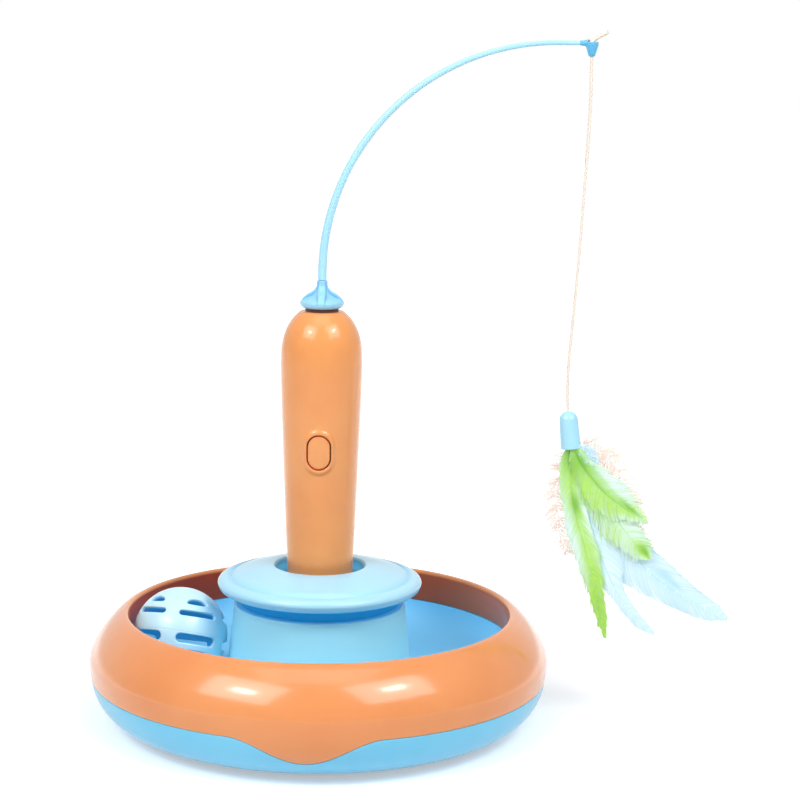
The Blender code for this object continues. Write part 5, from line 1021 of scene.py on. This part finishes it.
def addKnot(middle, seat, radius, cord, tail, lean, bore, frayed):
    # A trefoil of cord: (sin t + 2 sin 2t, cos t - 2 cos 2t, -1.25 sin 3t). A short length goes down the bore,
    # and the tail ends in a small tuft.
    t = fullTurn(150)
    loop = joined(np.sin(t) + 2 * np.sin(2 * t), np.cos(t) - 2 * np.cos(2 * t), -1.25 * np.sin(3 * t))
    loop = closedUp(loop * ((radius - cord) / 3))
    middle = np.array((*middle, seat + radius))
    along = np.array((math.sin(math.radians(lean)), 0, math.cos(math.radians(lean))))
    run = np.linspace(0.8, tail, 60)[:, None]
    end = middle + along * run + np.array((0, 0.15, 0.25)) * np.sin(run / 2.2)
    drop = np.linspace(0, 1, 30)[:, None]
    stub = middle + (bore - middle) * np.concatenate([np.minimum(4 * drop, 1)] * 2 + [drop], 1)
    tubes = [plyTube(loop + middle, cord, 16, 0.12, unit(loop + (0, 0, 0.01))),
             plyTube(end, cord * 1.15, 16, 0.12), plyTube(stub, cord, 16, 0.12)]
    spread = np.random.default_rng(5).normal(0, 0.35, (frayed, 3))[:, None]
    hairs = end[-6] + spread * 0.5 + (along + spread * 0.8) * np.linspace(0, 1, 5)[:, None] * 1.5
    fray = strands(hairs, 0.07 * np.array((1, 1, 1, 0.8, 0.3)), 0.07)
    crowns = np.concatenate([crown for _, crown in tubes] + [np.full(len(fray[0]), 0.9)])
    item = makeMesh("knot", [tube for tube, _ in tubes] + [fray], {"crown": crowns})
    settle(item, "rotor", "cord_knot", "cord_cotton")


addHub(**hubSet)
addSeal(**sealSet)
addRod(**rodSet)
addEyelet(**eyeletSet)
addKnot(**knotSet)
print("rotor made")


# Lure: ferrule, five feathers and three tufts of down, each a quill with barbs on both sides

ferruleSet = {"top": (111.8, 0.0, 145.3), "lean": 6.0, "radius": 4.3, "mouth": 4.8, "length": 17.0, "wall": 0.9,
              "pocket": 8.0}


def addFerrule(top, lean, radius, mouth, length, wall, pocket):
    # A domed cup turned about its own leaning axis
    dome = arc((0, -radius), (radius, radius), 90, 0, 20)
    down = [(mouth - 0.12, -length + 0.7), (mouth, -length + 0.3), (mouth - 0.2, -length)]
    within = [(mouth - wall, -length), (mouth - wall, pocket - length), (0, pocket - length)]
    grid = lathed(np.vstack([dome, down, within]), 72)
    lean = math.radians(lean)
    side, axis = np.array((math.cos(lean), 0, math.sin(lean))), np.array((math.sin(lean), 0, -math.cos(lean)))
    placed = grid[..., :1] * side + grid[..., 1:2] * (0, 1, 0) - grid[..., 2:] * axis + top
    settle(makeMesh("ferrule", [sheet(placed)]), "lure", "lure_ferrule", "sky_plastic", "pale_sky_plastic")


# Spines are (x, z) points; width is the half width at even shares of the spine; layer counts towards the front.
# Spots are (along, across, length, width, strength), with across -1 and 1 at the left and right edges.
featherSet = {
    "broadGreen": {
        "node": "green_feather_right", "slot": "green_feather", "layer": 3, "seed": 11, "barbs": 330,
        "spine": [(114.6, 130.5), (117.0, 124.5), (121.8, 117.5), (128.8, 109.5), (138.0, 102.0), (149.6, 94.6)],
        "width": (3.0, 5.6, 8.2, 9.6, 9.0, 6.8, 4.4, 2.6, 0.8), "sweep": 1.05, "ragged": 1.3, "hair": 0.35,
        "tint": 0.92, "edge": 0.30,
        "spots": [(0.45, 0.68, 0.32, 0.42, -1.15), (0.80, -0.95, 0.25, 0.35, -0.6), (0.97, -0.2, 0.10, 1.0, -0.5)],
        "dark": [(0.14, 0.0, 0.14, 0.40, 0.7), (0.40, 0.06, 0.30, 0.07, 0.9), (0.40, 0.24, 0.26, 0.05, 0.6),
                 (0.78, 0.25, 0.12, 0.22, 0.8), (0.12, -0.6, 0.1, 0.3, 0.5)],
    },
    "narrowGreen": {
        "node": "green_feather_left", "slot": "green_feather", "layer": 2, "seed": 23, "barbs": 420,
        "spine": [(112.6, 130.5), (112.7, 124.0), (114.3, 110.0), (117.4, 95.0), (121.6, 81.0), (125.6, 66.5),
                  (129.4, 50.5), (131.8, 39.6)],
        "width": (3.6, 4.9, 5.3, 5.6, 5.6, 5.3, 4.4, 3.4, 2.7, 1.9, 0.6), "sweep": 1.7, "ragged": 0.7, "hair": 0.35,
        "tint": 0.85, "edge": 0.75,
        "spots": [(0.20, 0.9, 0.30, 0.40, -0.9), (0.42, -0.8, 0.16, 0.5, -0.8), (0.62, -0.7, 0.16, 0.4, -0.4),
                  (0.85, 0.0, 0.2, 2.0, 0.5)],
        "dark": [(0.07, 0.1, 0.08, 0.7, 0.75), (0.30, 0.1, 0.06, 0.3, 0.85), (0.86, 0.0, 0.16, 0.9, 0.35)],
    },
    "smallGreen": {
        "node": "green_feather_small", "slot": "green_feather", "layer": 1.9, "seed": 31, "barbs": 330,
        "spine": [(115.8, 130.0), (117.8, 124.0), (123.5, 113.0), (132.0, 100.0), (141.5, 88.0), (151.0, 77.4)],
        "width": (3.0, 5.0, 7.4, 8.8, 9.0, 7.8, 6.4, 4.6, 1.0), "sweep": 1.1, "ragged": 0.9, "hair": 0.35,
        "tint": 0.20, "edge": 0.0, "spots": [(0.92, 0.05, 0.09, 0.6, 1.0), (0.66, -0.5, 0.14, 0.5, 0.40)],
        "dark": [(0.93, 0.20, 0.06, 0.40, 0.75)],
    },
    "shortPale": {
        "node": "pale_feather_short", "slot": "pale_feather", "layer": 0.9, "seed": 43, "barbs": 400,
        "spine": [(114.2, 130.0), (115.2, 124.0), (119.0, 108.0), (124.8, 91.0), (129.8, 76.0), (134.6, 65.1),
                  (140.9, 55.1), (147.2, 47.5), (154.6, 41.6)],
        "width": (3.0, 6.4, 9.2, 10.4, 10.2, 8.4, 5.0, 3.3, 3.0, 2.5, 0.7), "sweep": 1.5, "ragged": 0.4, "hair": 0.15,
        "tint": 0.10, "edge": 0.0, "spots": [(0.45, -0.4, 0.2, 0.4, 0.5)], "dark": [(0.16, 0.5, 0.1, 0.3, 0.3)],
    },
    "longPale": {
        "node": "pale_feather_long", "slot": "pale_feather", "layer": 0.0, "seed": 57, "barbs": 440,
        "spine": [(113.6, 130.0), (115.8, 124.0), (121.5, 110.0), (130.5, 94.0), (141.0, 80.3), (150.5, 71.6),
                  (161.0, 64.0), (173.5, 56.2), (188.4, 49.2)],
        "width": (3.0, 6.0, 9.2, 11.0, 11.2, 10.2, 8.6, 7.0, 5.7, 4.0, 0.9), "sweep": 1.55, "ragged": 0.3,
        "hair": 0.12, "tint": 0.10, "edge": 0.0,
        "spots": [(0.66, 0.1, 0.16, 0.4, 0.6), (0.80, -0.2, 0.14, 0.3, 0.4)],
        "dark": [(0.68, 0.35, 0.05, 0.22, 0.5), (0.74, 0.25, 0.03, 0.15, 0.4)],
    },
}
downSet = {
    "peachLeft": {
        "node": "marabou_fluff_left", "slot": "peach_fluff", "layer": -3, "seed": 71, "barbs": 480,
        "spine": [(112.8, 130.0), (111.5, 124.0), (109.0, 115.0), (108.0, 104.0), (109.5, 92.0), (114.0, 78.0)],
        "width": (3.0, 7.0, 8.2, 8.8, 8.6, 7.0, 5.0, 3.0),
    },
    "palePuff": {
        "node": None, "slot": "pale_feather", "layer": 2.2, "seed": 91, "barbs": 170,
        "spine": [(116.4, 130.4), (118.4, 128.6), (121.2, 126.2), (124.0, 122.0)],
        "width": (1.2, 3.4, 4.2, 3.6, 1.6),
    },
    "peachRight": {
        "node": "marabou_fluff_right", "slot": "peach_fluff", "layer": -2, "seed": 83, "barbs": 620,
        "spine": [(115.8, 129.6), (119.0, 130.6), (125.0, 129.0), (132.5, 121.5), (138.5, 110.0), (142.5, 98.0),
                  (146.5, 85.0)],
        "width": (2.0, 5.0, 7.6, 8.6, 9.0, 9.0, 8.4, 6.0, 3.4),
    },
}
# Each barb's width from root to tip, its thickness, and the quill's radius and share of the spine
webSet = {"widths": (0.14, 0.22, 0.24, 0.23, 0.21, 0.18, 0.14, 0.05), "thick": 0.12, "quill": (0.34, 1.0)}
fluffSet = {"widths": (0.06, 0.08, 0.08, 0.08, 0.07, 0.07, 0.06, 0.05, 0.02), "thick": 0.10, "quill": (0.30, 0.95)}
layerStep = -1.1  # From one layer of feathers to the next, towards the camera


def spineFrame(spine, at):
    # Places, headings and left-hand normals of the spine at the shares at, in the feather's own layer
    line = smoothLine(spine, 400)
    share = np.linspace(0, 1, len(line))
    place, ahead = (joined(*(np.interp(at, share, column) for column in values.T))
                    for values in (line, unit(np.gradient(line, axis=0))))
    ahead = unit(ahead)
    return place, ahead, joined(-ahead[:, 1], ahead[:, 0])


def halfWidth(given, start):
    # Between the even stations of the width, for each barb's start
    return np.interp(start, np.linspace(0, 1, len(given["width"])), given["width"])[:, None]


def blobs(spots, along, across):
    # Sum of soft round spots over the feather
    total = np.zeros_like(along)
    for middle, beside, long, wide, strength in spots:
        total = total + strength * np.exp(-(((along - middle) / long) ** 2) - ((across - beside) / wide) ** 2)
    return total


def webBarbs(given, rng, side, t):
    # Barb k leaves the spine at its own share, goes out by the half width there and sweeps towards the tip.
    # Barbs of one lock reach a little further or shorter together, so the web's edge is gently ragged.
    count, ragged = given["barbs"], given["ragged"]
    start = np.sort(np.clip(np.linspace(0.015, 0.99, count) + rng.normal(0, 0.001, count), 0, 1))
    lock = (start * 19 + 0.4 * side + 0.5 * np.sin(start * 31 + given["seed"]))[:, None]
    lean, inLock = rng.normal(0, 1, 64)[np.floor(lock).astype(int) % 64], lock % 1 - 0.5
    uneven = 0.035 * lean - 0.16 * inLock**2 + rng.normal(0, 0.014, (count, 1))
    reach = halfWidth(given, start) * (1 + ragged * uneven)
    reach = reach * (1 + given["hair"] * (rng.random((count, 1)) < 0.16) * rng.random((count, 1)))
    sweep = given["sweep"] * (1 + 0.05 * ragged * lean)
    room = np.minimum(1, 6.5 * (1.02 - start))[:, None]
    out = reach * (1.25 * t - 0.25 * t**2)
    on = reach * sweep * room * (0.45 * t + 0.55 * t**1.9) - 1.1 * ragged * inLock * t**2.4
    curl = 0.10 * reach * t**1.6 + rng.normal(0, 0.08, (count, 1)) * t
    return start, out, on, layerStep * given["layer"] + curl + 0.18 * ragged * lean * t**2


def fluffBarbs(given, rng, side, t):
    # Long loose barbs that spring from the spine at wandering angles and curl as they thin
    count = given["barbs"]
    start = np.sort(rng.uniform(0.06, 1.0, count))
    lock = (start * 22 + 0.4 * side).astype(int)[:, None] % 64
    turn = rng.normal(0, 0.22, 64)[lock]
    reach = halfWidth(given, start) * (0.72 + 0.45 * rng.random((count, 1)))
    reach = reach * (1 + 0.3 * rng.normal(0, 0.5, 64)[lock])
    angle = turn + rng.normal(0, 0.38, (count, 1)) + 0.30
    wave = rng.normal(0, 0.75, (count, 1)) * np.sin(3.6 * t + rng.uniform(0, 6, (count, 1)))
    out = reach * t * np.cos(angle) + 0.5 * wave * t
    on = reach * (t * np.sin(angle) + 0.35 * t**2) + wave * t
    return start, out, on, layerStep * given["layer"] + rng.normal(0, 1.3, (count, 1)) * t + 0.8 * t**2


def addPlume(name, given, barbs, widths, thick, quill):
    # Each barb runs through place + side normal out + ahead on, and stands off its layer by lift.
    # The quill is a thin tube along the spine, thinning to the tip.
    rng = np.random.default_rng(given["seed"])
    patches, marks = [], []
    for side in (-1, 1):
        t = np.linspace(0, 1, len(widths))
        start, out, on, lift = barbs(given, rng, side, t)
        place, ahead, normal = spineFrame(given["spine"], start)
        xz = place[:, None] + side * normal[:, None] * out[..., None] + ahead[:, None] * on[..., None]
        patches.append(strands(joined(xz[..., 0], lift, xz[..., 1]), widths, thick))
        rows = joined(start[:, None] + on / 110, side * t, rng.random((len(start), 1)))
        marks.append(np.repeat(rows.reshape(-1, 3), 4, 0))
    at = np.linspace(0, quill[1], 90)
    place = spineFrame(given["spine"], at)[0]
    path = joined(place[:, 0], layerStep * given["layer"] - 0.1, place[:, 1])
    patches.append(sheet(tubeAlong(path, quill[0] * (1 - 0.85 * at), 8)))
    marks.append(np.repeat(joined(np.concatenate([[0], at, [1]]), 0.0, 0.8), 8, 0))
    along, across, strand = np.concatenate(marks).T
    tint = given.get("tint", 0.2) - given.get("edge", 0.0) * 0.45 * np.abs(across) ** 3
    tint = np.clip(tint + blobs(given.get("spots", []), along, across), 0, 1)
    deep = np.clip(blobs(given.get("dark", []), along, across), 0, 1)
    item = makeMesh(name, patches, {"tint": tint, "deep": deep, "strand": strand}, 60, False)
    settle(item, "lure", given["node"], given["slot"])


addFerrule(**ferruleSet)
for name, given in featherSet.items():
    addPlume(name, given, webBarbs, **webSet)
for name, given in downSet.items():
    addPlume(name, given, fluffBarbs, **fluffSet)
print("lure made")


# Floor, lamps and world

roomSet = {
    "floorHeight": -1.0, "floorSize": 8000.0, "floorColours": ((0.86, 0.86, 0.86), (0.88, 0.88, 0.88)),
    "floorGlow": 0.42, "glowReach": (0.16, 0.45), "world": 0.19,
    "aim": (0, 0, 0.08), "lampColour": (0.93, 0.965, 1.0),
    # Soft boxes: azimuth from the front, elevation, distance, size, power
    "boxes": {
        "leftBox": (-43, 43, 1.3, (0.80, 0.62), 7.7), "leftCore": (-41, 42, 1.28, (0.24, 0.12), 1.9),
        "rightBox": (48, 45, 1.3, (0.80, 0.62), 7.2), "rightCore": (50, 46, 1.28, (0.24, 0.12), 1.9),
        "topBox": (0, 78, 1.4, (1.0, 0.8), 3.8),
    },
}


def addFloor(given):
    # Pale, with its shadow; where it is looked at, its glow rises to white away from the object
    half = given["floorSize"] / 2
    corners = np.array([(-half, -half), (half, -half), (half, half), (-half, half)])
    points = np.column_stack([corners, np.full(4, given["floorHeight"])])
    finish = Finish(bpy.data.materials.new("paleFloor"))
    away = finish.node("ShaderNodeVectorMath", {"operation": "LENGTH"}, {0: finish.place()}, "Value")
    glow = finish.seen() * finish.ranged(away, *given["glowReach"], given["floorGlow"], 1.0)
    item = makeMesh("floor", [(points, np.array([(0, 1, 2, 3)]))], merge=False)
    item.data.materials.append(finish.wear(
        BaseColor=finish.blend(finish.noise(30, 2), *given["floorColours"]),
        Roughness=0.9, SpecularIORLevel=0.0,
        EmissionColor=finish.blend(glow, (0, 0, 0), (1, 1, 1)), EmissionStrength=1.0,
    ))


def addBox(name, azimuth, elevation, distance, size, power):
    # A soft box aimed at the middle of the object
    around, above = math.radians(azimuth), math.radians(elevation)
    lamp = bpy.data.lights.new(name, "AREA")
    lamp.shape, lamp.size, lamp.size_y = "RECTANGLE", *size
    lamp.energy, lamp.color = power, roomSet["lampColour"]
    away = np.array((math.sin(around) * math.cos(above), -math.cos(around) * math.cos(above), math.sin(above)))
    right = unit(np.cross((0, 0, 1), away))
    stand(name, lamp, right, np.cross(away, right), away * distance + roomSet["aim"]).visible_camera = False


addFloor(roomSet)
for name, given in roomSet["boxes"].items():
    addBox(name, *given)
room = Finish(bpy.data.worlds.new("room"), "Background")
# White where it is looked at, and a plain level for everything else
scene.world = room.wear(Color=(1, 1, 1), Strength=room.ranged(room.seen(), 0, 1, roomSet["world"], 1.0))
print("room made")
